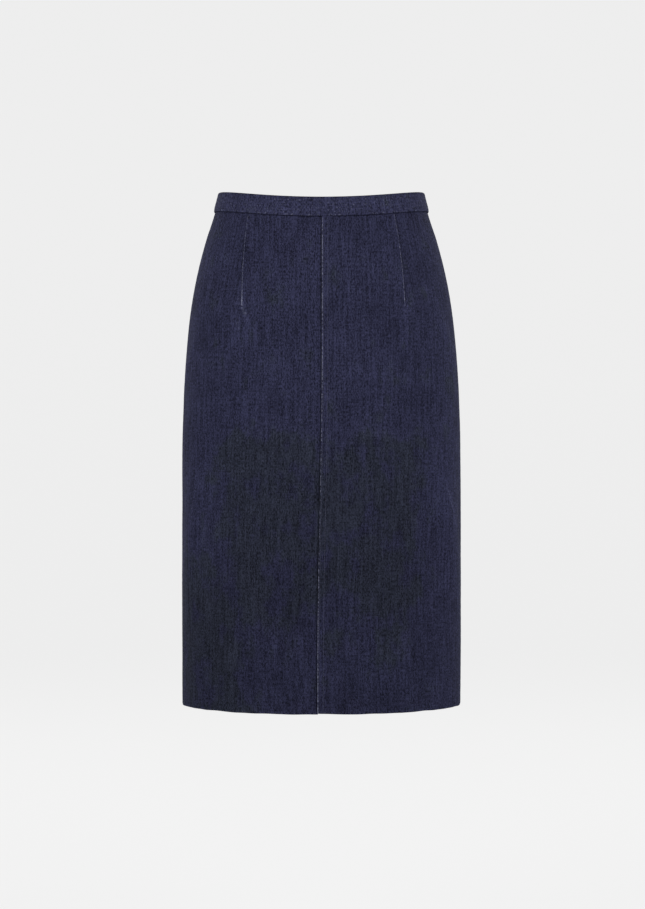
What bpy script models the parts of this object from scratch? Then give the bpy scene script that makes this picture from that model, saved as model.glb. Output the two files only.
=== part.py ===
"""A straight denim skirt to below the knee, hollow and filled out as when it is worn.

+Z is up, the front faces -Y, and the wearer's left side is at +X. The origin is in the middle of
the waist, at half the height of the waistband at its side seams, where the wearer holds the skirt up.

The cloth follows one smooth tube, worked out from a short table of level sections. Each section is
two half ellipses of the same width, one deeper than the other. Every piece of cloth is a wall of
columns and rows on that tube: a grid is bent to the piece's outer face and extruded to its inner
face. An angle runs round the tube in degrees, from 0 at the centre front through 90 at the wearer's
left side to 180 at the centre back, and is negative on the wearer's right.

Sizes are in millimetres and become metres where a point is placed.
"""

import math
from collections import namedtuple

import bmesh
import bpy
from mathutils import Matrix, Vector

MM = 0.001

# The skirt's heights.
WAIST_TOP = 13.0
BAND_HEIGHT = 26.0
FRONT_DIP = 15.0
BACK_DIP = 6.0
HEM_LEVEL = -655.7
HEM_TURN_UP = 32.0

# The cloth.
CLOTH = 1.2
GAP = 0.3
HALF_GAP = GAP / 2
SEAM_DIP = 0.3
SEAM_EDGE = 3.0
SEAM_ALLOWANCE = 12.0
# How the hem's fold rounds off: how far above the hem, and how far in.
HEM_ROLL = ((4.0, 0.0), (1.4, 0.4), (0.0, 1.0))
HEM_ROLL_INSIDE = 0.6

# The lap down the centre front, where the left front lies on the right front.
LAP_WIDTH = 13.0
LAP_RAMP = 4.0
LAP_ROWS = (2.6, 8.0)
LAP_LIFT = CLOTH + GAP
LAP_DRIFT = -5.6
DRIFT_TOP = -200.0
DRIFT_LOW = -600.0
DRIFT_SPREAD = 60.0

# The darts' creases.
CREASE_DEPTH = 0.4
CREASE_REACH = 2.4
CREASE_ANGLE = 1.1
DART_SPREAD = 20.0
LEAN_PASSES = 4

# The waistband's wall, and how far in from the tube it reaches.
BAND_THICKNESS = 2.6
BAND_DEPTH = 1.8
BAND_ROUNDING = 0.8
# How far down the band, and how far out from the tube its outer face stands there.
BAND_BULGE = ((0.05, 0.8), (0.25, 1.1), (0.5, 1.6), (0.75, 2.1), (0.96, 1.6))

# The concealed zip at the centre back.
ZIP_LENGTH = 185.0
ZIP_OPENING = 0.9
TAPE_WIDTH = 12.5
TAPE_THICKNESS = 1.0
COIL_WIDTH = 4.6
COIL_THICKNESS = 1.3
COIL_START = 1.6
COIL_END = 4.0

# The zip's slider and its pull tab.
SLIDER_DROP = 6.0
SLIDER_HEIGHT = 9.0
SLIDER_WIDTH = 5.4
SLIDER_PLATE = 1.0
SLIDER_FACE = 1.8
SLIDER_ROUNDING = 1.4
JOIN_DEPTH = 0.4
NECK_WIDTH = 1.1
NECK_HEIGHT = 7.0
LUG_WIDTH = 0.9
LUG_REACH = 1.1
LUG_HEIGHT = 2.8
PIN_RISE = 2.3
PIN_LIFT = 2.0
PIN_RADIUS = 0.55
PIN_PLAY = 0.35
EYE_HOLE_RADIUS = 0.9
EYE_RADIUS = 1.7
EYE_LENGTH = 2.3
PULL_LENGTH = 15.0
PULL_WIDTH = 4.6
PULL_THICKNESS = 1.0
PULL_NECK = 2.8
PULL_TIP = 0.6
PULL_STEPS = 12
ROUND_STEPS = 16

Section = namedtuple("Section", "height half_width front_depth back_depth")
SECTIONS = (
    Section(13, 134.4, 91.0, 98.0),
    Section(-13, 139.4, 93.5, 101.0),
    Section(-28, 144.0, 95.5, 105.0),
    Section(-48, 150.7, 99.0, 111.0),
    Section(-87, 161.0, 106.0, 123.5),
    Section(-126, 168.7, 112.5, 133.0),
    Section(-166, 174.0, 117.0, 139.0),
    Section(-225, 178.7, 121.0, 141.0),
    Section(-304, 181.8, 122.8, 137.5),
    Section(-400, 182.3, 122.8, 133.0),
    Section(-520, 182.6, 122.0, 130.0),
    Section(-656, 182.2, 121.0, 129.0),
)

Fold = namedtuple("Fold", "top_angle low_angle top low width rise")
FOLDS = (
    Fold(57, 76, -310, -560, 34, 2.6),
    Fold(44, 52, -380, -657, 46, -1.6),
    Fold(-62, -75, -320, -600, 32, 2.4),
    Fold(-47, -54, -400, -657, 44, -1.5),
    Fold(18, 24, -430, -657, 60, 1.2),
    Fold(-20, -27, -460, -657, 64, 1.1),
    Fold(118, 106, -300, -580, 36, 2.6),
    Fold(146, 150, -270, -657, 52, 2.4),
    Fold(-121, -108, -330, -600, 34, 2.4),
    Fold(-152, -149, -290, -657, 56, 2.6),
    Fold(168, 172, -340, -620, 40, -1.4),
)

Dart = namedtuple("Dart", "waist_angle tip_angle length")
FRONT_LEFT_DART = Dart(41.0, 38.6, 117)
FRONT_RIGHT_DART = Dart(-41.2, -36.2, 116)
BACK_LEFT_DART = Dart(139.0, 143.0, 138)
BACK_RIGHT_DART = Dart(-139.5, -143.0, 136)
DARTS = (FRONT_LEFT_DART, FRONT_RIGHT_DART, BACK_LEFT_DART, BACK_RIGHT_DART)

# A column stands at an angle, then a distance along the cloth from it, with its wall lifted outwards.
# One that is not turned up stays a single layer of cloth at the hem.
Column = namedtuple("Column", "angle along lift turned_up", defaults=(0.0, 0.0, True))
# A row lies at a share of the way down a piece, with its wall's two faces out from the tube.
Row = namedtuple("Row", "share outer inner")

# Each look is a name, a colour, a roughness and a metallic value.
DENIM = ("denim", (0.023, 0.024, 0.046), 0.86, 0.0)
ZIP_CLOTH = ("zip_tape", (0.012, 0.013, 0.024), 0.80, 0.0)
ZIP_ENAMEL = ("zip_enamel", (0.020, 0.022, 0.042), 0.34, 0.0)


def clear_scene():
    for item in list(bpy.data.objects):
        bpy.data.objects.remove(item, do_unlink=True)


def material(look):
    name, colour, roughness, metallic = look
    made = bpy.data.materials.get(name) or bpy.data.materials.new(name)
    made.use_nodes = True
    shader = made.node_tree.nodes["Principled BSDF"]
    shader.inputs["Base Color"].default_value = (*colour, 1.0)
    shader.inputs["Roughness"].default_value = roughness
    shader.inputs["Metallic"].default_value = metallic
    return made


def ease(value, start, end):
    """0 before start, 1 after end, and smooth between them."""
    share = min(1.0, max(0.0, (value - start) / (end - start)))
    return share * share * (3 - 2 * share)


def section_at(height):
    """The tube's half width, front depth and back depth, on a smooth curve through the sections."""
    last = len(SECTIONS) - 1
    after = next((i for i, row in enumerate(SECTIONS) if row.height <= height), last)
    after = max(1, after)
    before = after - 1
    low, high = SECTIONS[after], SECTIONS[before]
    below, above = SECTIONS[min(after + 1, last)], SECTIONS[max(before - 1, 0)]
    step = low.height - high.height
    t = (height - high.height) / step
    sizes = []
    for column in range(1, 4):
        slope_high = (low[column] - above[column]) / (low.height - above.height)
        slope_low = (below[column] - high[column]) / (below.height - high.height)
        sizes.append(
            (2 * t**3 - 3 * t**2 + 1) * high[column]
            + (t**3 - 2 * t**2 + t) * step * slope_high
            + (3 * t**2 - 2 * t**3) * low[column]
            + (t**3 - t**2) * step * slope_low
        )
    return sizes


def radii(angle, height):
    """The half width, and the depth on this angle's side of the tube."""
    half_width, front_depth, back_depth = section_at(height)
    return half_width, front_depth if abs(angle) <= 90 else back_depth


def length_per_degree(angle, height):
    half_width, depth = radii(angle, height)
    turn = math.radians(angle)
    return math.radians(math.hypot(half_width * math.cos(turn), depth * math.sin(turn)))


def seam_height(angle):
    """The height of the waistband's lower edge, which dips in front and a little behind."""
    dip = FRONT_DIP if abs(angle) <= 90 else BACK_DIP
    return WAIST_TOP - BAND_HEIGHT - dip * math.cos(math.radians(angle)) ** 2


def dart_angle(dart, height):
    """Where a dart's stitched line stands at this height."""
    share = (seam_height(dart.tip_angle) - height) / dart.length
    return dart.tip_angle + (dart.waist_angle - dart.tip_angle) * min(1.0, max(0.0, 1 - share))


def dart_crease(dart, angle, height):
    share = (seam_height(dart.tip_angle) - height) / dart.length
    away = abs(turn_between(angle, dart_angle(dart, height))) * length_per_degree(angle, height)
    return -CREASE_DEPTH * (1 - ease(share, 0.8, 1.0)) * max(0.0, 1 - away / CREASE_REACH)


def turn_between(angle, other):
    """The turn from one angle to the other, the short way round."""
    return (angle - other + 180) % 360 - 180


def fold_rise(fold, angle, height):
    """A soft ridge or, where its rise is negative, a soft trough, which fades out at its ends."""
    share = (fold.top - height) / (fold.top - fold.low)
    if share <= 0:
        return 0.0
    end = 0.5 if fold.low > HEM_LEVEL else 1.0
    along = ease(share, 0.0, 0.5) * (1 - ease(share, end, end + 0.5))
    middle = fold.top_angle + (fold.low_angle - fold.top_angle) * share
    away = abs(turn_between(angle, middle)) * length_per_degree(angle, height) / fold.width
    return fold.rise * along * math.cos(math.pi / 2 * min(1.0, away)) ** 2


def relief(angle, height):
    """How far the cloth stands out from the tube in its folds and darts."""
    folds = sum(fold_rise(fold, angle, height) for fold in FOLDS)
    return folds + sum(dart_crease(dart, angle, height) for dart in DARTS)


def on_tube(angle, height, out):
    """A point this far out from the tube, placed in metres."""
    half_width, depth = radii(angle, height)
    turn = math.radians(angle)
    point = Vector((half_width * math.sin(turn), -depth * math.cos(turn), height))
    outwards = Vector((math.sin(turn) / half_width, -math.cos(turn) / depth, 0)).normalized()
    return (point + outwards * out) * MM


def column_angle(column, height):
    """A column leans with the centre front's drift and with the nearest dart."""
    angle = column.angle
    if abs(angle) < DRIFT_SPREAD:
        drift = LAP_DRIFT * ease(-height, -DRIFT_TOP, -DRIFT_LOW)
        angle += (1 - abs(column.angle) / DRIFT_SPREAD) * drift / length_per_degree(0, height)
    for dart in DARTS:
        nearness = 1 - min(1.0, abs(column.angle - dart.tip_angle) / DART_SPREAD)
        lean = dart_angle(dart, height) - dart.tip_angle
        angle += lean * math.sin(math.pi / 2 * nearness) ** 2
    return angle + column.along / length_per_degree(column.angle, height)


def crossing(column, row, top, low):
    """The angle and height where a leaning column crosses a row between two sloping edges."""
    angle = column.angle
    for _ in range(LEAN_PASSES):
        height = top(angle) + (low(angle) - top(angle)) * row.share
        angle = column_angle(column, height)
    return angle, height


def mesh_object(name, shape, look):
    bmesh.ops.recalc_face_normals(shape, faces=shape.faces)
    if shape.calc_volume(signed=True) < 0:
        bmesh.ops.reverse_faces(shape, faces=shape.faces)
    mesh = bpy.data.meshes.new(name)
    shape.to_mesh(mesh)
    shape.free()
    mesh.materials.append(material(look))
    mesh.shade_smooth()
    mesh.set_sharp_from_angle(angle=math.radians(40))
    made = bpy.data.objects.new(name, mesh)
    bpy.context.scene.collection.objects.link(made)
    return made


def cloth_wall(name, columns, rows, top, low, look=DENIM):
    """A closed wall between two edges. top and low give an edge's height at an angle."""
    shape = bmesh.new()
    column_of = shape.verts.layers.int.new("column")
    row_of = shape.verts.layers.int.new("row")
    steps, drops = len(columns) - 1, len(rows) - 1
    grid = bmesh.ops.create_grid(shape, x_segments=steps, y_segments=drops, size=1)
    for vert in grid["verts"]:
        vert[column_of] = round((vert.co.x + 1) / 2 * steps)
        vert[row_of] = round((vert.co.y + 1) / 2 * drops)
    outer_verts = list(shape.verts)
    extruded = bmesh.ops.extrude_face_region(shape, geom=shape.faces[:])["geom"]
    inner_verts = [item for item in extruded if isinstance(item, bmesh.types.BMVert)]
    for verts, outside in ((outer_verts, True), (inner_verts, False)):
        for vert in verts:
            column, row = columns[vert[column_of]], rows[vert[row_of]]
            angle, height = crossing(column, row, top, low)
            inner = row.inner if column.turned_up else max(row.inner, -CLOTH)
            out = (row.outer if outside else inner) + column.lift
            vert.co = on_tube(angle, height, out + relief(angle, height))
    return mesh_object(name, shape, look)


def mirrored(columns):
    """The same columns on the wearer's right, in the order that runs round the tube."""
    return [c._replace(angle=-c.angle, along=-c.along) for c in reversed(columns)]


def dart_columns(dart):
    tip = abs(dart.tip_angle)
    return [Column(tip - CREASE_ANGLE), Column(tip), Column(tip + CREASE_ANGLE)]


def front_columns(dart):
    """A front panel's columns on the wearer's left, from beside the lap to the side seam."""
    return [
        *map(Column, (12, 19, 26, 32)),
        *dart_columns(dart),
        *map(Column, (48, 55, 62, 69, 76, 83)),
        Column(90, -SEAM_EDGE),
        Column(90, -HALF_GAP, -SEAM_DIP),
    ]


def back_columns(dart):
    """A back panel's columns on the wearer's left, from the side seam to the centre back."""
    return [
        Column(90, HALF_GAP, -SEAM_DIP),
        Column(90, SEAM_EDGE),
        *map(Column, (97, 104, 111, 118, 125, 133)),
        *dart_columns(dart),
        *map(Column, (151, 158, 165)),
        Column(180, -SEAM_ALLOWANCE - 1),
        Column(180, -SEAM_EDGE),
        Column(180, -HALF_GAP, -SEAM_DIP),
    ]


def panel_rows():
    """A panel's rows, from the waist seam through the hem's turn-up to its rounded fold."""
    drop = WAIST_TOP - BAND_HEIGHT - HEM_LEVEL
    turned = (drop - HEM_TURN_UP) / drop
    body = (0.02, 0.045, 0.075, 0.11, 0.15, 0.2, 0.26, 0.33, 0.41, 0.49, 0.57, 0.65, 0.73, 0.81, 0.88)
    return [
        Row(0.0, -SEAM_DIP, -CLOTH),
        Row(0.004, 0.0, -CLOTH),
        *(Row(share, 0.0, -CLOTH) for share in body),
        Row(turned - 1.0 / drop, 0.0, -CLOTH),
        Row(turned + 1.0 / drop, 0.0, -2 * CLOTH),
        Row(0.98, 0.0, -2 * CLOTH),
        *(Row(1 - above / drop, -inset, -2 * CLOTH) for above, inset in HEM_ROLL[:-1]),
        Row(1.0, -HEM_ROLL[-1][1], -2 * CLOTH + HEM_ROLL_INSIDE),
    ]


def panel_top(angle):
    return seam_height(angle) - HALF_GAP


def panel_low(_angle):
    return HEM_LEVEL


def make_panels():
    rows = panel_rows()
    lap = [Column(0, along, LAP_LIFT, False) for along in (0.0, *LAP_ROWS, LAP_WIDTH)]
    lap.append(Column(0, LAP_WIDTH + LAP_RAMP))
    underlap = [Column(0, -8.0), Column(0, 0.0), Column(0, SEAM_ALLOWANCE - 1.0)]
    left_front = lap + front_columns(FRONT_LEFT_DART)
    right_front = mirrored(front_columns(FRONT_RIGHT_DART)) + underlap
    cloth_wall("front_panel_left", left_front, rows, panel_top, panel_low)
    cloth_wall("front_panel_right", right_front, rows, panel_top, panel_low)
    cloth_wall("back_panel_left", back_columns(BACK_LEFT_DART), rows, panel_top, panel_low)
    right_back = mirrored(back_columns(BACK_RIGHT_DART))
    cloth_wall("back_panel_right", right_back, rows, panel_top, panel_low)


def band_rows():
    """The band's rows, from its fold at the top to its seam, where the layers inside fill it out."""
    fold = Row(0.0, BAND_BULGE[0][1] - BAND_ROUNDING, -BAND_DEPTH + BAND_ROUNDING)
    body = [Row(share, outer, outer - BAND_THICKNESS) for share, outer in BAND_BULGE]
    seam = Row(1.0, body[-1].outer - BAND_ROUNDING, body[-1].inner)
    return [fold, *body, seam]


def band_top(angle):
    return seam_height(angle) + BAND_HEIGHT


def band_low(angle):
    return seam_height(angle) + HALF_GAP


def make_waistband():
    rows = band_rows()
    side = [Column(90, -SEAM_EDGE), Column(90, -HALF_GAP, -SEAM_DIP)]
    left_front = [*map(Column, range(0, 89, 8)), *side]
    front = mirrored(left_front)[:-1] + left_front
    back = [
        Column(90, HALF_GAP, -SEAM_DIP),
        Column(90, SEAM_EDGE),
        *map(Column, range(98, 172, 8)),
        Column(180, -SEAM_ALLOWANCE - 1),
        Column(180, -ZIP_OPENING),
    ]
    cloth_wall("waistband_front", front, rows, band_top, band_low)
    cloth_wall("waistband_back_left", back, rows, band_top, band_low)
    cloth_wall("waistband_back_right", mirrored(back), rows, band_top, band_low)


def make_zip_cloth():
    """Two tapes hang inside the centre-back opening, with the closed coil on them below the slider."""
    face = -BAND_DEPTH - GAP
    back = face - TAPE_THICKNESS
    zip_top = band_top(180) - 1.0
    zip_low = zip_top - ZIP_LENGTH
    shares = (0.0, 0.07, 0.14, 0.21, 0.3, 0.4, 0.52, 0.64, 0.76, 0.88, 1.0)
    rows = [Row(share, face, back) for share in shares]
    left = [Column(180, -TAPE_WIDTH), Column(180, -TAPE_WIDTH / 2), Column(180, -ZIP_OPENING)]
    for name, columns in (("zip_tape_left", left), ("zip_tape_right", mirrored(left))):
        cloth_wall(name, columns, rows, lambda _: zip_top, lambda _: zip_low, ZIP_CLOTH)
    coil_top = band_top(180) - SLIDER_DROP - SLIDER_HEIGHT / 2 - COIL_START
    coil_low = zip_low + COIL_END
    rows = [Row(share, back - GAP, back - GAP - COIL_THICKNESS) for share in shares]
    middle = [Column(180, -COIL_WIDTH / 2), Column(180), Column(180, COIL_WIDTH / 2)]
    cloth_wall("zip_coil", middle, rows, lambda _: coil_top, lambda _: coil_low, ZIP_CLOTH)


def hard_piece(name, shape, place):
    made = mesh_object(name, shape, ZIP_ENAMEL)
    made.matrix_world = place
    return made


def block(name, place, across, depths, heights, rounding=0.0):
    """A block between two sides, two depths and two heights of its own frame."""
    shape = bmesh.new()
    bmesh.ops.create_cube(shape, size=1)
    low, high = (Vector(corner) for corner in zip(across, depths, heights))
    for vert in shape.verts:
        vert.co = ((low + high) / 2 + vert.co * (high - low)) * MM
    if rounding:
        bmesh.ops.bevel(
            shape,
            geom=[edge for edge in shape.edges if along_depth(edge)],
            offset=rounding * MM,
            segments=3,
            profile=0.5,
            affect="EDGES",
            material=-1,
        )
    return hard_piece(name, shape, place)


def along_depth(edge):
    run = edge.verts[1].co - edge.verts[0].co
    return abs(run.y) > max(abs(run.x), abs(run.z))


def rod(name, place, radius, length):
    """A round bar along X, centred on its own frame."""
    shape = bmesh.new()
    bmesh.ops.create_cone(
        shape,
        cap_ends=True,
        segments=ROUND_STEPS,
        radius1=radius * MM,
        radius2=radius * MM,
        depth=length * MM,
        matrix=Matrix.Rotation(math.pi / 2, 4, "Y"),
    )
    return hard_piece(name, shape, place)


def combine(target, tool, operation):
    """Adds the tool's shape to the target, or cuts it away, and keeps the tool as a hidden helper."""
    change = target.modifiers.new(tool.name, "BOOLEAN")
    change.operation = operation
    change.solver = "EXACT"
    change.object = tool
    tool.hide_render = True
    tool.display_type = "WIRE"


def mirrored_span(span):
    return -span[1], -span[0]


def slider_place():
    """The slider's frame: on the tube at the centre back, leaning as the waistband does there."""
    height = band_top(180) - SLIDER_DROP
    point = on_tube(180, height, 0)
    rise = on_tube(180, height + 1, 0) - point
    lean = math.atan2(-rise.y, rise.z)
    return Matrix.Translation(point) @ Matrix.Rotation(lean, 4, "X")


def make_slider(place, pin_place):
    """Two plates joined by a neck through the opening, with two lugs and a pin for the pull tab."""
    plate_span = (-SLIDER_WIDTH / 2, SLIDER_WIDTH / 2)
    plate_heights = (-SLIDER_HEIGHT / 2, SLIDER_HEIGHT / 2)
    front = SLIDER_FACE + SLIDER_PLATE
    behind = -BAND_DEPTH - TAPE_THICKNESS - 2 * GAP
    neck_span = (-NECK_WIDTH / 2, NECK_WIDTH / 2)
    neck_depths = (behind - JOIN_DEPTH, SLIDER_FACE + JOIN_DEPTH)
    neck_heights = (-NECK_HEIGHT / 2, NECK_HEIGHT / 2)
    lug_span = (EYE_LENGTH / 2 + PIN_PLAY, EYE_LENGTH / 2 + PIN_PLAY + LUG_WIDTH)
    lug_depths = (SLIDER_FACE + JOIN_DEPTH, front + PIN_RISE + LUG_REACH)
    lug_heights = (PIN_LIFT - LUG_HEIGHT / 2, PIN_LIFT + LUG_HEIGHT / 2)
    slider = block("zip_slider", place, plate_span, (SLIDER_FACE, front), plate_heights, SLIDER_ROUNDING)
    back_depths = (behind - SLIDER_PLATE, behind)
    for tool in (
        block("slider_neck", place, neck_span, neck_depths, neck_heights),
        block("slider_back_plate", place, plate_span, back_depths, plate_heights, SLIDER_ROUNDING),
        block("slider_lug_left", place, lug_span, lug_depths, lug_heights),
        block("slider_lug_right", place, mirrored_span(lug_span), lug_depths, lug_heights),
        rod("slider_pin", pin_place, PIN_RADIUS, 2 * lug_span[1] - LUG_WIDTH),
    ):
        combine(slider, tool, "UNION")


def pull_half_width(drop):
    """The pull tab's half width: narrow between the lugs, then wider to a round end."""
    widest, radius = PULL_LENGTH - PULL_WIDTH / 2, PULL_WIDTH / 2
    if drop > widest:
        return math.sqrt(max(PULL_TIP**2, radius**2 - (drop - widest) ** 2))
    return EYE_LENGTH / 2 + (radius - EYE_LENGTH / 2) * ease(drop, PULL_NECK, widest)


def make_pull(pin_place):
    """A tab that hangs straight down from an eye round the slider's pin."""
    hang = Matrix.Translation(pin_place.translation)
    shape = bmesh.new()
    bmesh.ops.create_grid(shape, x_segments=1, y_segments=PULL_STEPS, size=1)
    start = (EYE_RADIUS + EYE_HOLE_RADIUS) / 2
    for vert in shape.verts:
        drop = start + (PULL_LENGTH - start) * math.sin(math.pi / 4 * (1 - vert.co.y))
        vert.co = Vector((vert.co.x * pull_half_width(drop), -PULL_THICKNESS / 2, -drop)) * MM
    extruded = bmesh.ops.extrude_face_region(shape, geom=shape.faces[:])["geom"]
    outer_verts = [item for item in extruded if isinstance(item, bmesh.types.BMVert)]
    bmesh.ops.translate(shape, verts=outer_verts, vec=(0, PULL_THICKNESS * MM, 0))
    pull = hard_piece("zip_pull", shape, hang)
    combine(pull, rod("pull_eye", hang, EYE_RADIUS, EYE_LENGTH), "UNION")
    combine(pull, rod("pull_eye_hole", hang, EYE_HOLE_RADIUS, 2 * EYE_LENGTH), "DIFFERENCE")


def main():
    clear_scene()
    make_panels()
    make_waistband()
    make_zip_cloth()
    place = slider_place()
    pin_centre = (0, (SLIDER_FACE + SLIDER_PLATE + PIN_RISE) * MM, PIN_LIFT * MM)
    pin_place = place @ Matrix.Translation(pin_centre)
    make_slider(place, pin_place)
    make_pull(pin_place)


main()
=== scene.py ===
"""A straight denim skirt, filled out as when it is worn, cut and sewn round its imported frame.

+Z is up, the front faces -Y, and the wearer's left side is at +X. Every piece of cloth is a thin
sheet laid on one smooth tube. A place on the tube is an angle, a height and a distance out: the
angle is 0 at the centre front, 90 at the wearer's left side and 180 at the centre back, and it is
negative on the wearer's right. Sizes are in millimetres and become metres where a point is placed.
"""

import math
from collections import namedtuple

import bmesh
import bpy
import numpy as np
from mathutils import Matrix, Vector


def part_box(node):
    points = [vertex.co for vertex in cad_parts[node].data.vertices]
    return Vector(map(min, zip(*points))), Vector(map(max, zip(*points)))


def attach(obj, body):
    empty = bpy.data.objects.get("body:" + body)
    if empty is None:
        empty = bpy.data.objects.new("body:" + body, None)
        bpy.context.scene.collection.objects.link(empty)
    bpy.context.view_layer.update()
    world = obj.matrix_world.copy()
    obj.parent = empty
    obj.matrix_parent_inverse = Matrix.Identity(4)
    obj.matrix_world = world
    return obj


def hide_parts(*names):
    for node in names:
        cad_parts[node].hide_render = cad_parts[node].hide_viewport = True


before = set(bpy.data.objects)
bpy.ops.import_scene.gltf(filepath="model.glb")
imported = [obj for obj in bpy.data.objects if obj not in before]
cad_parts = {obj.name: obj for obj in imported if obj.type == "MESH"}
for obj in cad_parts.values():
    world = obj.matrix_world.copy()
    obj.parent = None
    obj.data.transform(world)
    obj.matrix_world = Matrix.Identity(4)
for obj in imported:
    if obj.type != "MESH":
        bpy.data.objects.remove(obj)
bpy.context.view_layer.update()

bl_info = {
    "name": "Denim skirt",
    "version": (1, 0, 0),
    "blender": (4, 5, 0),
    "location": "3D View > Sidebar > Skirt",
    "description": "Cuts and sews a straight denim skirt round its packed frame",
    "category": "Add Mesh",
}

MM = 0.001
SKIRT_BODY = "skirt"
UV_NAME = "cloth"
# The vertex attribute that carries the cloth's wear together with painted shade and painted highlights.
WEAR_AND_SHADING_NAME = "wear"

# ------------------------------------------------------------------ the tube that the cloth follows
WAIST_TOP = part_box("waistband_front")[1].z / MM
HEM_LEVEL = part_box("front_panel_left")[0].z / MM
ZIP_LOW, ZIP_TOP = (corner.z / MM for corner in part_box("zip_tape_left"))
COIL_LOW, COIL_TOP = (corner.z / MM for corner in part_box("zip_coil"))
BAND_HEIGHT = 26.0
# How far the waist seam dips at the centre front and at the centre back.
FRONT_DIP = 15.0
BACK_DIP = 6.0
# The lap drifts to one side between these depths. The columns lean with it and with the darts, less
# and less over these angles.
LAP_DRIFT = -5.6
DRIFT_TOP = 200.0
DRIFT_LOW = 600.0
DRIFT_SPREAD = 60.0
DART_SPREAD = 20.0
LEAN_PASSES = 4

Section = namedtuple("Section", "height half_width front_depth back_depth")
SECTIONS = (
    Section(13, 134.4, 91.0, 98.0),
    Section(-13, 139.4, 93.5, 101.0),
    Section(-28, 144.0, 95.5, 105.0),
    Section(-48, 150.7, 99.0, 111.0),
    Section(-87, 161.0, 106.0, 123.5),
    Section(-126, 168.7, 112.5, 133.0),
    Section(-166, 174.0, 117.0, 139.0),
    Section(-225, 178.7, 121.0, 141.0),
    Section(-304, 181.8, 122.8, 137.5),
    Section(-400, 182.3, 122.8, 133.0),
    Section(-520, 182.6, 122.0, 130.0),
    Section(-656, 182.2, 121.0, 129.0),
)

Fold = namedtuple("Fold", "top_angle low_angle top low width rise")
FOLDS = (
    Fold(57, 76, -310, -560, 34, 2.6),
    Fold(44, 52, -380, -657, 46, -1.6),
    Fold(-62, -75, -320, -600, 32, 2.4),
    Fold(-47, -54, -400, -657, 44, -1.5),
    Fold(18, 24, -430, -657, 60, 1.2),
    Fold(-20, -27, -460, -657, 64, 1.1),
    Fold(118, 106, -300, -580, 36, 2.6),
    Fold(146, 150, -270, -657, 52, 2.4),
    Fold(-121, -108, -330, -600, 34, 2.4),
    Fold(-152, -149, -290, -657, 56, 2.6),
    Fold(168, 172, -340, -620, 40, -1.4),
)

# A small crease lies at an angle and a height, leans from the upright by some degrees and fades
# out at its ends. One that rises is a ridge, and the others are troughs.
Crease = namedtuple("Crease", "angle height length width lean rise")
CREASES = (
    # Below the darts and across the thighs in front.
    Crease(-35, -146, 52, 7, 24, 0.7),
    Crease(-40, -158, 80, 13, -6, 0.45),
    Crease(41, -150, 60, 9, -12, 0.5),
    Crease(33, -170, 90, 15, 10, -0.35),
    Crease(27, -232, 120, 11, 82, 0.32),
    Crease(34, -268, 150, 14, 96, -0.3),
    Crease(22, -305, 95, 10, 86, 0.28),
    Crease(-24, -256, 110, 12, 97, 0.3),
    Crease(-33, -318, 140, 15, 84, -0.28),
    Crease(-12, -352, 70, 9, 92, 0.2),
    Crease(10, -512, 90, 14, 20, 0.35),
    Crease(-13, -548, 110, 16, -16, -0.35),
    Crease(36, -600, 100, 15, 9, 0.4),
    Crease(-38, -590, 120, 17, -7, 0.4),
    # From the hips towards the side seams.
    Crease(72, -190, 95, 12, 28, 0.4),
    Crease(-74, -205, 85, 11, -30, 0.4),
    Crease(80, -420, 130, 13, 5, -0.5),
    Crease(-82, -455, 120, 12, -5, -0.5),
    # Beside the zip, under the seat and down the back.
    Crease(164, -60, 46, 8, 68, 0.45),
    Crease(-167, -84, 40, 7, -74, 0.4),
    Crease(141, -160, 64, 9, 20, 0.5),
    Crease(-144, -156, 58, 8, -18, 0.5),
    Crease(150, -262, 150, 16, 84, 0.6),
    Crease(-146, -284, 170, 18, 97, 0.55),
    Crease(172, -318, 110, 13, 88, -0.4),
    Crease(-168, -352, 90, 12, 80, -0.35),
    Crease(128, -440, 120, 14, -14, 0.5),
    Crease(-131, -500, 140, 16, 12, 0.45),
    Crease(160, -560, 120, 15, 6, -0.45),
    Crease(-163, -596, 100, 14, -8, 0.4),
)

# Where the cloth is painted pale, partly as rubbed wear and partly as painted highlights on the creases:
# beyond the darts' tips, across the thighs and down their sides. A scuff's rise is how pale it is painted.
SCUFFS_AND_HIGHLIGHTS = (
    Crease(-34.4, -149, 16, 3.6, 26, 0.26),
    Crease(-37.2, -166, 20, 4.0, 8, 0.4),
    Crease(38.2, -147, 14, 3.6, -8, 0.36),
    Crease(34.0, -162, 18, 4.0, 20, 0.38),
    Crease(21.6, -300, 44, 4.2, 87, 0.24),
    Crease(28.0, -268, 48, 4.2, 94, 0.22),
    Crease(24.5, -284, 30, 3.6, 89, 0.16),
    Crease(-33.0, -304, 34, 6.0, 80, 0.18),
    Crease(64.0, -382, 62, 4.2, 25, 0.5),
    Crease(-64.4, -390, 52, 4.2, -12, 0.44),
    Crease(142.0, -176, 16, 3.6, 12, 0.5),
    Crease(-142.2, -174, 14, 3.6, -14, 0.5),
)

# How much paler a crease is painted for each millimetre that it rises, as wear and a painted highlight on the
# ridge, and how much darker, as painted shade in the trough, for each that it sinks.
CREASE_WEAR_AND_SHADING = 0.5

# The cloth gathers a little beside each seam, in waves this long that reach this far from it.
Pucker = namedtuple("Pucker", "angle wavelength reach")
SEAM_PUCKERS = (
    Pucker(0, 9.0, 9.0),
    Pucker(90, 15.0, 10.0),
    Pucker(-90, 13.0, 10.0),
    Pucker(180, 12.0, 11.0),
)
DART_PUCKER_WAVE = 11.0
DART_PUCKER_REACH = 6.0
DART_PUCKER_SHARE = 0.7
EASE_IN_WAVE = 6.5
EASE_IN_REACH = 26.0
# The hanging cloth's broad waves: upright ones, which lean a little, and level ones.
UPRIGHT_WAVE = 38.0
UPRIGHT_LEAN = 0.02
LEVEL_WAVE = 170.0
LEVEL_LEAN = 0.4
LEVEL_SHARE = 0.6

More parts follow.
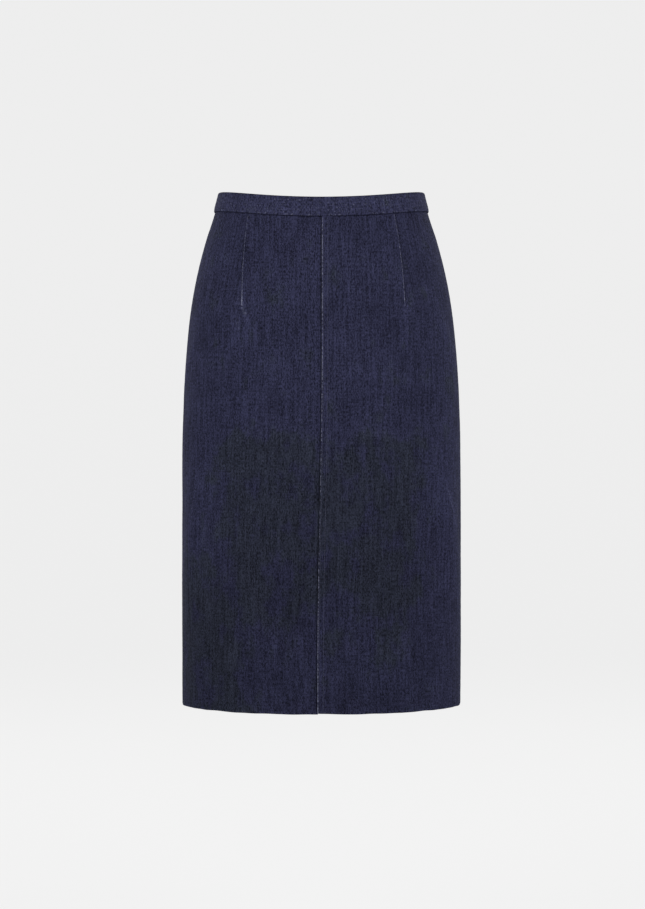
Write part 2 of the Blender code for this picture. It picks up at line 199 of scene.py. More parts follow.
# A dart's fold is pressed to one side: -1 towards the centre front and 1 towards the centre back.
Dart = namedtuple("Dart", "waist_angle tip_angle length pressed")
FRONT_LEFT_DART = Dart(41.0, 38.6, 117, -1)
FRONT_RIGHT_DART = Dart(-41.2, -36.2, 116, -1)
BACK_LEFT_DART = Dart(139.0, 143.0, 138, 1)
BACK_RIGHT_DART = Dart(-139.5, -143.0, 136, 1)
DARTS = (FRONT_LEFT_DART, FRONT_RIGHT_DART, BACK_LEFT_DART, BACK_RIGHT_DART)
DART_INTAKE = 22.0
DART_GROOVE = 0.55
DART_REACH = 0.9
# Over the fold the panel steps up by this much, over at least this far and less towards the tip.
DART_STEP = 0.35
DART_STEP_REACH = 2.0
DART_STEP_LOSS = 0.6
# The line of a dart is painted pale on the side of its fold, as rubbed wear and a painted highlight, and dark
# beside it as a painted shadow, as far as this.
DART_WEAR_AND_SHADOW_REACH = 2.5
DART_RUBBED_HIGHLIGHT = 0.9
DART_SHADOW = 0.8

# ------------------------------------------------------------------ how the layers of cloth lie
CLOTH = 0.9
HALF_CLOTH = CLOTH / 2
LAYER = 1.1
ALLOWANCE_WIDTH = 12.0
SEAM_GAP = -0.02
EDGE_WEAR = 0.35
HEM_DEPTH = 32.0
FIELD_STEP = 1.25
ROW_STEP = 3.2
# How far out from the tube the middle of each layer stands: first hanging, then in the hem's
# turn-up, where the same layers come back in the other order.
PANEL = -HALF_CLOTH
ALLOWANCE = PANEL - LAYER
ALLOWANCE_UP = ALLOWANCE - LAYER
TURN_UP = PANEL - LAYER
TURN_UP_AT_SEAM = PANEL - 3 * LAYER
LAP = 1.05
LAP_UNDER = LAP - LAYER
UNDERLAP = LAP - 2 * LAYER
UNDERLAP_UP = UNDERLAP - LAYER
LAP_UNDER_UP = UNDERLAP - 2 * LAYER
LAP_UP = UNDERLAP - 3 * LAYER
LAP_EDGE = 0.6
LAP_WEAR = 0.9
# The lap's two rows of stitches: how far from its edge, how deep they press in, and how far short
# of the waist seam and the hem they end.
LAP_ROWS = (2.6, 8.0)
LAP_ROW_DIP = 0.16
LAP_ROW_DROP = 1.0
LAP_ROW_LIFT = 3.5
LAP_RAW_EDGE = 11.0

# The waistband's outer face: how far down the band, and how far out from the tube it stands.
BAND_BULGE = ((0.0, 0.7), (0.05, 0.8), (0.25, 1.1), (0.5, 1.6), (0.75, 2.1), (0.96, 1.6), (1.0, 1.5))
BAND_INNER = 2.45
BAND_FACING_DROP = 6.0

# Tapes and coil lie inside the centre-back seam.
TAPE_MIDDLE = -2.4
TAPE_CLOTH = 0.5
TAPE_WIDTH = 12.5
COIL_MIDDLE = -4.0


def ease(value, start, end):
    """0 before start, 1 after end, and smooth between them."""
    share = np.clip((value - start) / (end - start), 0.0, 1.0)
    return share * share * (3 - 2 * share)


def bump(distance):
    """1 at no distance, falling smoothly to 0 at a distance of 1."""
    return np.cos(np.pi / 2 * np.minimum(1.0, np.abs(distance))) ** 2


def between(first, last, share):
    """The value at this share of the way from the first to the last."""
    return first + (last - first) * share


def half_turn_share(turn):
    """How far across a round fold its cloth has come, at this share of the half turn."""
    return (1 - np.cos(np.pi * turn)) / 2


def curve_through(knots, values, at):
    """A smooth curve through the values at these rising knots."""
    knots, values = np.asarray(knots, float), np.asarray(values, float)
    order = np.arange(len(knots))
    before, after = np.maximum(order - 1, 0), np.minimum(order + 1, len(knots) - 1)
    slopes = (values[after] - values[before]) / (knots[after] - knots[before])
    low = np.clip(np.searchsorted(knots, at, side="right") - 1, 0, len(knots) - 2)
    step = knots[low + 1] - knots[low]
    t = (at - knots[low]) / step
    return (
        (2 * t**3 - 3 * t**2 + 1) * values[low]
        + (t**3 - 2 * t**2 + t) * step * slopes[low]
        + (3 * t**2 - 2 * t**3) * values[low + 1]
        + (t**3 - t**2) * step * slopes[low + 1]
    )


def tube_size(angle, height):
    """The tube's half width, and its depth on this angle's side."""
    drops = [-row.height for row in SECTIONS]
    half_width, front, back = (
        curve_through(drops, [row[column] for row in SECTIONS], -height) for column in (1, 2, 3)
    )
    return half_width, np.where(np.abs(angle) <= 90, front, back)


def length_per_degree(angle, height):
    """How long one degree is round the tube at a place."""
    half_width, depth = tube_size(angle, height)
    turn = np.radians(angle)
    return np.radians(np.hypot(half_width * np.cos(turn), depth * np.sin(turn)))


def seam_height(angle):
    """The height of the waistband's lower edge, which dips in front and a little behind."""
    dip = np.where(np.abs(angle) <= 90, FRONT_DIP, BACK_DIP)
    return WAIST_TOP - BAND_HEIGHT - dip * np.cos(np.radians(angle)) ** 2


def turn_between(angle, other):
    """The turn from one angle to the other, the short way round."""
    return (angle - other + 180) % 360 - 180


def dart_share(dart, height):
    """How far down its dart a height is: 0 at the waist seam and 1 at the tip."""
    return np.maximum(0.0, (seam_height(dart.tip_angle) - height) / dart.length)


def dart_angle(dart, height):
    """Where a dart's stitched line stands at this height."""
    left = np.maximum(0.0, 1 - dart_share(dart, height))
    return between(dart.tip_angle, dart.waist_angle, left)


def beside_dart(dart, angle, height):
    """How far a place is from the dart's line, and on the side its fold is pressed to if positive."""
    turn = turn_between(angle, dart_angle(dart, height)) * np.sign(dart.tip_angle)
    return turn * dart.pressed * length_per_degree(angle, height)


def dart_relief(dart, angle, height):
    """The dart's fine groove, and the slight step over the fold that is pressed to one side."""
    share = dart_share(dart, height)
    away = beside_dart(dart, angle, height)
    groove = np.maximum(0.0, 1 - np.abs(away) / DART_REACH)
    reach = DART_STEP_REACH + 0.5 * DART_INTAKE * np.maximum(0.0, 1 - share)
    step = np.where(away > 0, 1 - ease(away, 0.5 * reach, 1.3 * reach), 0.0)
    step = DART_STEP * step * (1 - DART_STEP_LOSS * share)
    return (1 - ease(share, 0.85, 1.0)) * (step - DART_GROOVE * groove)


def fold_relief(fold, angle, height):
    """A soft ridge or, where its rise is negative, a soft trough, which fades out at its ends."""
    share = (fold.top - height) / (fold.top - fold.low)
    end = 0.5 if fold.low > HEM_LEVEL else 1.0
    along = ease(share, 0.0, 0.5) * (1 - ease(share, end, end + 0.5))
    middle = between(fold.top_angle, fold.low_angle, share)
    away = turn_between(angle, middle) * length_per_degree(angle, height) / fold.width
    return fold.rise * along * bump(away)


def crease_relief(crease, angle, height):
    """A short ridge or trough that leans, and fades out all round."""
    across = turn_between(angle, crease.angle) * length_per_degree(crease.angle, crease.height)
    down = crease.height - height
    lean = math.radians(crease.lean)
    along = across * math.sin(lean) + down * math.cos(lean)
    away = across * math.cos(lean) - down * math.sin(lean)
    return crease.rise * bump(along / crease.length) * bump(away / crease.width)


def ripple(place, wavelength, seed):
    """A smooth uneven wave along a line, between about -1 and 1."""
    turns = 2 * math.pi * np.asarray(place, float) / wavelength
    waves = ((1.0, 0.5, 1.3), (1.73, 0.3, 2.9), (2.61, 0.2, 4.1))
    return sum(size * np.sin(turns * rate + shift * seed) for rate, size, shift in waves)


def pucker_relief(angle, height, depth):
    """The slight gathering of the cloth beside the sewn seams and darts."""
    total = 0.0
    for seed, seam in enumerate(SEAM_PUCKERS, 1):
        away = turn_between(angle, seam.angle) * length_per_degree(angle, height)
        waves = depth * ripple(height, seam.wavelength, seed)
        total = total + waves * np.exp(-np.abs(away) / seam.reach)
    for seed, dart in enumerate(DARTS, len(SEAM_PUCKERS) + 1):
        away = beside_dart(dart, angle, height)
        fade = 1 - ease(dart_share(dart, height), 0.9, 1.25)
        waves = DART_PUCKER_SHARE * depth * fade * ripple(height, DART_PUCKER_WAVE, seed)
        total = total + waves * np.exp(-np.abs(away) / DART_PUCKER_REACH)
    return total


def ease_in_relief(angle, height, depth):
    """Fine upright waves below the waistband, where the cloth is eased on to it."""
    below = seam_height(angle) - height
    return depth * ripple(angle, EASE_IN_WAVE, 3.0) * bump(below / EASE_IN_REACH)


def sway_relief(angle, height, depth):
    """The broad unevenness of cloth that hangs."""
    upright = ripple(angle + UPRIGHT_LEAN * height, UPRIGHT_WAVE, 1.0) * ease(-height, 150, 500)
    level = ripple(height + LEVEL_LEAN * angle, LEVEL_WAVE, 2.0) * ease(-height, 60, 250)
    return depth * (upright + LEVEL_SHARE * level)


def creases_relief(creases, angle, height):
    """The relief of several creases together."""
    return sum(crease_relief(crease, angle, height) for crease in creases)


def relief(angle, height):
    """How far the cloth stands out from the tube in its folds, creases, darts and seams."""
    form = bpy.context.scene.skirt_form
    folds = sum(fold_relief(fold, angle, height) for fold in FOLDS)
    creases = creases_relief(CREASES, angle, height)
    darts = sum(dart_relief(dart, angle, height) for dart in DARTS)
    fine = pucker_relief(angle, height, form.pucker_depth / MM)
    fine = fine + ease_in_relief(angle, height, form.pucker_depth / MM)
    fine = fine + sway_relief(angle, height, form.sway_depth / MM)
    return folds + form.crease_strength * creases + darts + fine


def on_tube(angle, height, out):
    """Points this far out from the tube, placed in metres."""
    half_width, depth = tube_size(angle, height)
    turn = np.radians(angle)
    outwards = np.stack([np.sin(turn) / half_width, -np.cos(turn) / depth], -1)
    outwards /= np.linalg.norm(outwards, axis=-1, keepdims=True)
    level = np.stack([half_width * np.sin(turn), -depth * np.cos(turn)], -1) + outwards * out[..., None]
    return np.concatenate([level, np.broadcast_to(height, out.shape)[..., None]], -1) * MM


def leaning_angle(angle, along, height):
    """The angle of a line that starts at an angle, leans with the centre front's drift and with the
    nearest dart, and runs some way along the cloth beside it."""
    drift = LAP_DRIFT * ease(-height, DRIFT_TOP, DRIFT_LOW) / length_per_degree(0.0, height)
    lean = np.maximum(0.0, 1 - np.abs(angle) / DRIFT_SPREAD) * drift
    for dart in DARTS:
        nearness = 1 - np.minimum(1.0, np.abs(angle - dart.tip_angle) / DART_SPREAD)
        lean = lean + (dart_angle(dart, height) - dart.tip_angle) * np.sin(np.pi / 2 * nearness) ** 2
    return angle + lean + along / length_per_degree(angle, height)


def on_cloth(angle, along, height, out):
    """Points on the skirt, this far along the cloth from a leaning line and out from its tube."""
    given = (np.asarray(item, float) for item in (angle, along, height, out))
    angle, along, height, out = np.broadcast_arrays(*given)
    turned = leaning_angle(angle, along, height)
    return on_tube(turned, height, out + relief(turned, height))


# ------------------------------------------------------------------ columns and rows of cloth
# A column stands at an angle, then some way along the cloth from it. Its cloth's middle is `down`
# out from the tube where it hangs and `up` in the hem's turn-up.
Column = namedtuple("Column", "angle along down up wear", defaults=(0.0, PANEL, TURN_UP, 0.0))
# A row lies at a share of the way from the waist seam to the hem's fold, then some way above that.
# Its turn is 0 where the cloth hangs, 1 in the turn-up and between them round the hem's fold.
Row = namedtuple("Row", "share above turn dip wear", defaults=(0.0, 0.0, 0.0, 0.0))

# Towards a seam: how far from it each column stands, and how worn it is.
SEAM_COLUMNS = ((17, 0), (14.5, 0), (12, 0), (9, 0), (6, 0), (3.5, 0.1), (2.0, 0.25), (1.4, 0.4))
ALLOWANCE_COLUMNS = (1.6, 4, 7, 9.5, ALLOWANCE_WIDTH)
EDGE_TURNS = (0.2, 0.5, 0.8)
# Beside a dart's line the columns stand this many degrees from it, and the even ones keep clear.
DART_COLUMNS = (0.0, 0.08, 0.2, 0.38, 0.7)
DART_CLEARANCE = 1.1
# Over the lap, from its folded edge: how far along, how high above its level and how worn. The
# cloth dips under both rows of stitches.
LAP_UNDER_COLUMNS = (LAP_RAW_EDGE, 8.0, 5.0, 3.0, 2.1)
LAP_COLUMNS = (
    (1.5, 0.0, 0.75), (2.0, -0.05, 0.35), (2.6, -LAP_ROW_DIP, 0.0), (3.4, -0.03, 0.1), (5.3, 0.06, 0.12),
    (7.2, -0.02, 0.12), (8.0, -LAP_ROW_DIP, 0.1), (8.8, -0.06, 0.12), (10.5, -0.1, 0.1),
)
# Beyond the lap its cloth comes down to the panel's level over the first stretch, and the turned-up
# cloth inside it over the second.
LAP_FOOT = LAP - 0.15
LAP_FOOT_COLUMNS = (12.0, 13.3, 14.6, 16.0, 17.5)
LAP_FOOT_DOWN = (10.5, 17.0)
LAP_FOOT_UP = (11.0, 18.0)
# From under the lap's edge out to the right front's field: how far along, and how dark the lap's painted
# shadow is. Its cloth and the turned-up cloth inside it come to the panel's level over two such stretches.
UNDERLAP_COLUMNS = ((LAP_RAW_EDGE, 0.0), (7.5, 0.0), (4.0, 0.0), (1.4, 0.0), (0.6, -1.0), (0.0, -1.0))
LAP_SHADOW_COLUMNS = (
    (0.6, -1.0), (1.2, -0.45), (2.0, 0.0), (3.0, 0.0), (4.5, 0.0), (7.0, 0.0), (10.0, 0.0), (14.0, 0.0),
)
LAP_SHADOW_DOWN = (0.0, 4.0)
LAP_SHADOW_UP = (2.0, 8.0)
# The angles between which each panel's even columns stand.
LEFT_FIELD = (7.75, 78.75)
RIGHT_FIELD = (-6.6, -78.75)
BACK_FIELD = (172.0, 101.25)
# Below the waistband: how far above the waist seam, how far in, and how dark the painted shade under the band
# is.
WAIST_ROWS = (
    (2.6, -0.45, -0.7), (1.6, -0.42, -0.7), (0.8, -0.3, -0.6),
    (0.1, -0.1, -0.2), (-1.0, 0.0, 0.0), (-2.6, 0.0, 0.0),
)
HEM_TURNS = (0, 0.1, 0.25, 0.4, 0.5, 0.6, 0.75, 0.9, 1)
HEM_WEAR = 0.25
# The hem hangs a little higher than its lowest level, in waves, and higher still at the lap.
HEM_LIFT = 0.55
HEM_SWAY = 0.35
HEM_WAVE = 23.0
LAP_LIFT = 0.9
LAP_LIFT_ANGLE = -1.5
LAP_LIFT_SPREAD = 7.0
TURN_UP_ROWS = (0.08, 0.2, 0.35, 0.5, 0.65, 0.8, 0.92, 1.0)


def folded_edge(angle, edge, first, last, wear, side=1):
    """Columns round an edge, folded from one layer to the next. The cloth lies on the edge's
    positive side where side is 1."""
    (down_first, up_first), (down_last, up_last) = first, last
    radius = abs(down_first - down_last) / 2
    columns = []
    for turn in EDGE_TURNS:
        along = edge + side * (HALF_CLOTH + radius * (1 - math.sin(math.pi * turn)))
        share = half_turn_share(turn)
        down, up = between(down_first, down_last, share), between(up_first, up_last, share)
        columns.append(Column(angle, along, down, up, wear))
    return columns


def turned_up_at(distance):
    """How far out the turned-up hem's cloth lies, this far from a seam with its allowances."""
    rise = 1 - ease(np.abs(distance), ALLOWANCE_WIDTH - 1, ALLOWANCE_WIDTH + 4)
    return between(TURN_UP, TURN_UP_AT_SEAM, rise)


def seam_columns(angle, side):
    """From a panel's field to a seam at an angle and back along its allowance to the raw edge.
    The panel lies on the seam's positive side where side is 1."""
    field = [
        Column(angle, side * distance, PANEL, turned_up_at(distance), wear)
        for distance, wear in SEAM_COLUMNS
    ]
    layers = (PANEL, TURN_UP_AT_SEAM), (ALLOWANCE, ALLOWANCE_UP)
    edge = folded_edge(angle, side * SEAM_GAP, *layers, EDGE_WEAR, side)
    allowance = [
        Column(angle, side * distance, ALLOWANCE, ALLOWANCE_UP) for distance in ALLOWANCE_COLUMNS
    ]
    return field + edge + allowance


def field_columns(first, last, tip):
    """Evenly spaced columns between two angles, closer together at the line of the dart whose tip
    is at an angle of its own."""
    near = {tip + side * offset for offset in DART_COLUMNS for side in (-1, 1)}
    steps = round(abs(last - first) / FIELD_STEP)
    even = [first + (last - first) * step / steps for step in range(steps + 1)]
    clear = [angle for angle in even if abs(angle - tip) > DART_CLEARANCE]
    return [Column(angle) for angle in sorted([*clear, *near], reverse=last < first)]


def reflected(columns):
    """The same columns on the other side of the centre."""
    return [column._replace(angle=-column.angle, along=-column.along) for column in columns]


def left_front_columns():
    """From the raw edge inside the lap, round its folded edge and across to the side seam."""
    under = [Column(0, along, LAP_UNDER, LAP_UNDER_UP) for along in LAP_UNDER_COLUMNS]
    edge = folded_edge(0, LAP_EDGE, (LAP_UNDER, LAP_UNDER_UP), (LAP, LAP_UP), LAP_WEAR)
    top = [Column(0, along, LAP + rise, LAP_UP, wear) for along, rise, wear in LAP_COLUMNS]
    foot = [
        Column(0, along, between(LAP_FOOT, PANEL, ease(along, *LAP_FOOT_DOWN)),
               between(LAP_UP, TURN_UP, ease(along, *LAP_FOOT_UP)))
        for along in LAP_FOOT_COLUMNS
    ]
    field = field_columns(*LEFT_FIELD, FRONT_LEFT_DART.tip_angle)
    return under + edge + top + foot + field + seam_columns(90, -1)


def right_front_columns():
    """From the raw edge under the lap across to the side seam."""
    under = [Column(0, along, UNDERLAP, UNDERLAP_UP, shade) for along, shade in UNDERLAP_COLUMNS]
    rise = [
        Column(0, -along, between(UNDERLAP, PANEL, ease(along, *LAP_SHADOW_DOWN)),
               between(UNDERLAP_UP, TURN_UP, ease(along, *LAP_SHADOW_UP)), shade)
        for along, shade in LAP_SHADOW_COLUMNS
    ]
    field = field_columns(*RIGHT_FIELD, FRONT_RIGHT_DART.tip_angle)
    return under + rise + field + seam_columns(-90, 1)


def back_columns(tip):
    """From the centre-back seam across to the wearer's left side seam, past a dart with this tip."""
    return seam_columns(180, -1)[::-1] + field_columns(*BACK_FIELD, tip) + seam_columns(90, 1)


def panel_rows():
    """From just inside the waistband, down the panel, round the hem's fold and up to its raw edge."""
    top = [Row(0, above, 0, dip, wear) for above, dip, wear in WAIST_ROWS]
    count = round((WAIST_TOP - BAND_HEIGHT - HEM_LEVEL) / ROW_STEP)
    field = [Row(step / count) for step in range(1, count)]
    fold = [Row(1, 0, turn, 0, HEM_WEAR) for turn in HEM_TURNS]
    raise_by = HEM_DEPTH - HALF_CLOTH - LAYER / 2
    turned = [Row(1, raise_by * share, 1) for share in TURN_UP_ROWS]
    return top + field + fold + turned


def hem_sway(angle):
    """How much higher than its lowest level the hem hangs at each angle."""
    lap = LAP_LIFT * np.exp(-np.abs(angle - LAP_LIFT_ANGLE) / LAP_LIFT_SPREAD)
    return HEM_LIFT + HEM_SWAY * ripple(angle, HEM_WAVE, 6.0) + np.where(angle < LAP_LIFT_ANGLE, 0.0, lap)


def fields(items):
    """The items' columns of numbers, as arrays."""
    return [np.array(column, float) for column in zip(*items)]


def lay_out(columns, rows):
    """The angle, the height and the distance out of each crossing of the columns and rows."""
    base, along, down, up = (item[:, None] for item in fields(columns)[:4])
    share, above, turn, dip = (item[None, :] for item in fields(rows)[:4])
    radius = np.abs(down - up) / 2
    fold_top = HEM_LEVEL + HALF_CLOTH + radius
    angle = np.broadcast_to(base, (len(columns), len(rows)))
    for _ in range(LEAN_PASSES):
        seam = seam_height(angle)
        height = seam + (fold_top + hem_sway(angle) - seam) * share + above - radius * np.sin(np.pi * turn)
        angle = leaning_angle(base, along, height)
    out = between(down, up, half_turn_share(turn)) + dip
    return angle, height, out


def crease_wear(angle, height):
    """How much paler the cloth is painted at its scuffs and on its creases' ridges, as wear and painted
    highlights, and how much darker in the troughs, as painted shade.
    """
    return creases_relief(SCUFFS_AND_HIGHLIGHTS, angle, height) + CREASE_WEAR_AND_SHADING * creases_relief(CREASES, angle, height)


def dart_wear(angle, height):
    """How pale the darts' lines are painted, as wear and a painted highlight, and how dark the painted shadow
    in the crease beside them is.
    """
    wear = np.zeros(np.shape(angle))
    for dart in DARTS:
        away = beside_dart(dart, angle, height)
        share = dart_share(dart, height)
        fade = (1 - ease(share, 0.94, 1.05)) * (0.82 + 0.2 * share)
        # Wear with a painted highlight on the fold's side, and a painted shadow beside it.
        line = DART_RUBBED_HIGHLIGHT * bump((away - 0.5) / 1.1) - DART_SHADOW * bump(away + 1.1)
        wear = np.where(np.abs(away) < DART_WEAR_AND_SHADOW_REACH, fade * line, wear)
    return wear


# The edges of the seams are worn in long and short patches, and less round one level.
EDGE_WORN = 0.88
LONG_PATCH, LONG_PATCH_SHARE = 67.0, 0.14
SHORT_PATCH, SHORT_PATCH_SHARE = 13.0, 0.1
LESS_WORN, LESS_WORN_LEVEL, LESS_WORN_REACH = 0.3, -410, 190


def edge_unevenness(height):
    """How strongly the seams' edges are worn at each height."""
    long_patches = LONG_PATCH_SHARE * ripple(height, LONG_PATCH, 2.0)
    short_patches = SHORT_PATCH_SHARE * ripple(height, SHORT_PATCH, 5.0)
    less = LESS_WORN * bump((height - LESS_WORN_LEVEL) / LESS_WORN_REACH)
    return (EDGE_WORN + long_patches + short_patches) * (1 - less)


def placed(name, data):
    """A new object of the scene."""
    made = bpy.data.objects.new(name, data)
    bpy.context.scene.collection.objects.link(made)
    return made


def finished_mesh(name, shape, materials):
    """The object of a finished bmesh, smooth and in its materials."""
    mesh = bpy.data.meshes.new(name)
    shape.to_mesh(mesh)
    shape.free()
    mesh.shade_smooth()
    for material in materials:
        mesh.materials.append(material)
    return placed(name, mesh)


def cloth_object(name, places, cut, wear, materials, thickness=CLOTH):
    """A sheet of cloth from a grid of places, with its cut in metres as its UV map. A Solidify
    modifier gives it its thickness, with its right side on the outside of the skirt."""
    shape = bmesh.new()
    uv = shape.loops.layers.uv.new(UV_NAME)
    worn = shape.verts.layers.float.new(WEAR_AND_SHADING_NAME)
    steps, drops = places.shape[0] - 1, places.shape[1] - 1
    bmesh.ops.create_grid(shape, x_segments=steps, y_segments=drops, size=1)
    where = {}
    for vert in shape.verts:
        crossing = round((vert.co.x + 1) / 2 * steps), round((vert.co.y + 1) / 2 * drops)
        where[vert] = crossing
        vert.co = places[crossing]
        # Each corner carries its wear together with its painted shade and painted highlights.
        vert[worn] = wear[crossing]
    for face in shape.faces:
        for loop in face.loops:
            loop[uv].uv = cut[where[loop.vert]]
    shape.normal_update()
    outermost = max(shape.faces, key=lambda face: face.calc_center_median().xy.length)
    if outermost.normal.xy.dot(outermost.calc_center_median().xy) < 0:
        bmesh.ops.reverse_faces(shape, faces=shape.faces)
    made = finished_mesh(name, shape, materials)
    wall = made.modifiers.new("cloth thickness", "SOLIDIFY")
    wall.thickness = thickness * MM
    wall.offset = 0
    wall.use_even_offset = False
    wall.use_quality_normals = True
    wall.material_offset = 1
    wall.material_offset_rim = 2
    return made


def run_lengths(places):
    """How far along the cloth each place lies from the first column."""
    steps = np.linalg.norm(np.diff(places, axis=0), axis=-1)
    return np.concatenate([np.zeros((1, steps.shape[1])), np.cumsum(steps, axis=0)])


def panel(name, columns, dart, grain, turn_cut=1, cut_from=0.0):
    """One of the skirt's four panels. Its grain runs down beside the column numbered grain. It is
    cut this far along the bolt of cloth, in metres, and turned over where turn_cut is -1."""
    rows = panel_rows()
    angle, height, out = lay_out(columns, rows)
    places = on_tube(angle, height, out + relief(angle, height))
    across = run_lengths(places)
    intake = DART_INTAKE * MM * np.maximum(0.0, 1 - dart_share(dart, height))
    past_dart = beside_dart(dart, angle, height) < 0
    across = across - across[grain] + np.where(past_dart, intake, 0.0)
    turned = fields(rows)[2] > 0.5
    drop = np.where(turned, 2 * HEM_LEVEL - height, height) * MM
    # The cloth's wear together with painted shade and painted highlights: the seams' and lap's worn edges,
    # the lap's painted shadow, the painted shade under the band, the darts and the creases.
    column_wear_and_shade, row_wear_and_shade = fields(columns)[4][:, None], fields(rows)[4][None, :]
    edges = column_wear_and_shade * edge_unevenness(height) + row_wear_and_shade
    wear = edges + dart_wear(angle, height) + crease_wear(angle, height)
    cut = np.stack([across * turn_cut + cut_from, drop], -1)
    return cloth_object(name, places, cut, wear, denim_set())


def plain_sheet(name, places, height, materials, thickness):
    """A sheet that isn't worn, cut as it lies."""
    cut = np.stack([run_lengths(places), height * MM], -1)
    return cloth_object(name, places, cut, np.zeros(height.shape), materials, thickness)


# ------------------------------------------------------------------ threads
# A stitch's shape: places along its length, and heights above the cloth in threads' widths.
STITCH_ALONG = (0.0, 0.08, 0.25, 0.5, 0.75, 0.92, 1.0)
STITCH_RISE = (-0.9, 0.1, 0.5, 0.6, 0.5, 0.1, -0.9)
# Overlocking: from one winding to the next, how far in from the raw edge it bites and how far past
# the edge it goes. Its thread is a little finer. It starts this far below the waist seam and runs
# this far past the turned-up hem's edge.
OVERLOCK_PITCH = 3.0
OVERLOCK_BITE = 4.2
OVERLOCK_PAST = -0.25
OVERLOCK_FINER = 0.75
OVERLOCK_DROP = 7.5
OVERLOCK_OVERLAP = 2.0


def thread_object(name, runs, thickness, material):
    """Threads as round curves through their runs of points."""
    curve = bpy.data.curves.new(name, "CURVE")
    curve.dimensions = "3D"
    curve.bevel_depth = thickness * MM / 2
    curve.bevel_resolution = 1
    curve.use_fill_caps = True
    for run in runs:
        spline = curve.splines.new("POLY")
        spline.points.add(len(run) - 1)
        spline.points.foreach_set("co", np.c_[run, np.ones(len(run))].ravel())
    curve.materials.append(material)
    return placed(name, curve)


def stitch_row(place_at, start, end):
    """Stitches from start to end. place_at gives points from places along the row and heights above
    the cloth. Each stitch comes up, runs along the cloth and goes down again."""
    sewing = bpy.context.scene.skirt_sewing
    length, gap, thick = sewing.stitch_length / MM, sewing.stitch_gap / MM, sewing.thread_width / MM
    count = int(abs(end - start) / (length + gap))
    along, rise = np.array(STITCH_ALONG) * length, np.array(STITCH_RISE) * thick
    way = math.copysign(1.0, end - start)
    return [place_at(start + way * (along + number * (length + gap)), rise) for number in range(count)]


def overlock_run(edge_at, start, end, pitch=OVERLOCK_PITCH):
    """One thread wound over a raw edge from start to end. edge_at gives points from places along
    the edge, how far in from it and how far above the middle of its cloth."""
    sewing = bpy.context.scene.skirt_sewing
    lift = HALF_CLOTH + 0.5 * sewing.thread_width / MM
    count = int(abs(end - start) / pitch)
    way = math.copysign(pitch, end - start)
    winding = (
        (0.0, OVERLOCK_BITE, lift), (0.3, 0.0, lift), (0.4, OVERLOCK_PAST, 0.0), (0.5, 0.0, -lift),
        (0.7, OVERLOCK_BITE, -lift), (0.85, 0.0, -lift), (0.92, OVERLOCK_PAST, 0.0), (0.96, 0.0, lift),
    )
    steps = [
        (start + way * (number + travel), inset, above)
        for number in range(count)
        for travel, inset, above in winding
    ]
    return edge_at(*fields(steps))


def overlocked_edge(angle, edge, inwards, layer, low):
    """Overlocking down a raw edge this far along from a seam. The cloth lies on its inwards side."""

    def beside_edge(height, inset, above):
        return on_cloth(angle, edge + inwards * inset, height, layer - above)

    return overlock_run(beside_edge, float(seam_height(angle)) - OVERLOCK_DROP, low)


def lap_stitches(row, top, low):
    """One row of stitches down the lap, this far from its folded edge."""

    def above_lap(height, rise):
        return on_cloth(0.0, row, height, LAP - LAP_ROW_DIP + HALF_CLOTH + rise)

    return stitch_row(above_lap, top, low)


def hem_up_at(angle):
    """How far out from the tube the middle of the turned-up hem lies at each angle."""
    depth = np.full(np.shape(angle), TURN_UP)
    for seam in (90, -90, 180):
        distance = turn_between(angle, seam) * length_per_degree(angle, HEM_LEVEL)
        depth = np.minimum(depth, turned_up_at(distance))
    along = turn_between(angle, leaning_angle(0.0, 0.0, HEM_LEVEL)) * length_per_degree(0.0, HEM_LEVEL)
    lap = np.where(along > 0, 1 - ease(along, *LAP_FOOT_UP), 1 - ease(-along, *LAP_SHADOW_DOWN))
    return np.minimum(depth, between(TURN_UP, LAP_UP, lap))


def above_turn_up(angle, inset, above):
    """Points beside the raw edge of the turned-up hem."""
    height = HEM_LEVEL + HEM_DEPTH - inset
    return on_tube(angle, height, hem_up_at(angle) - above + relief(angle, height))


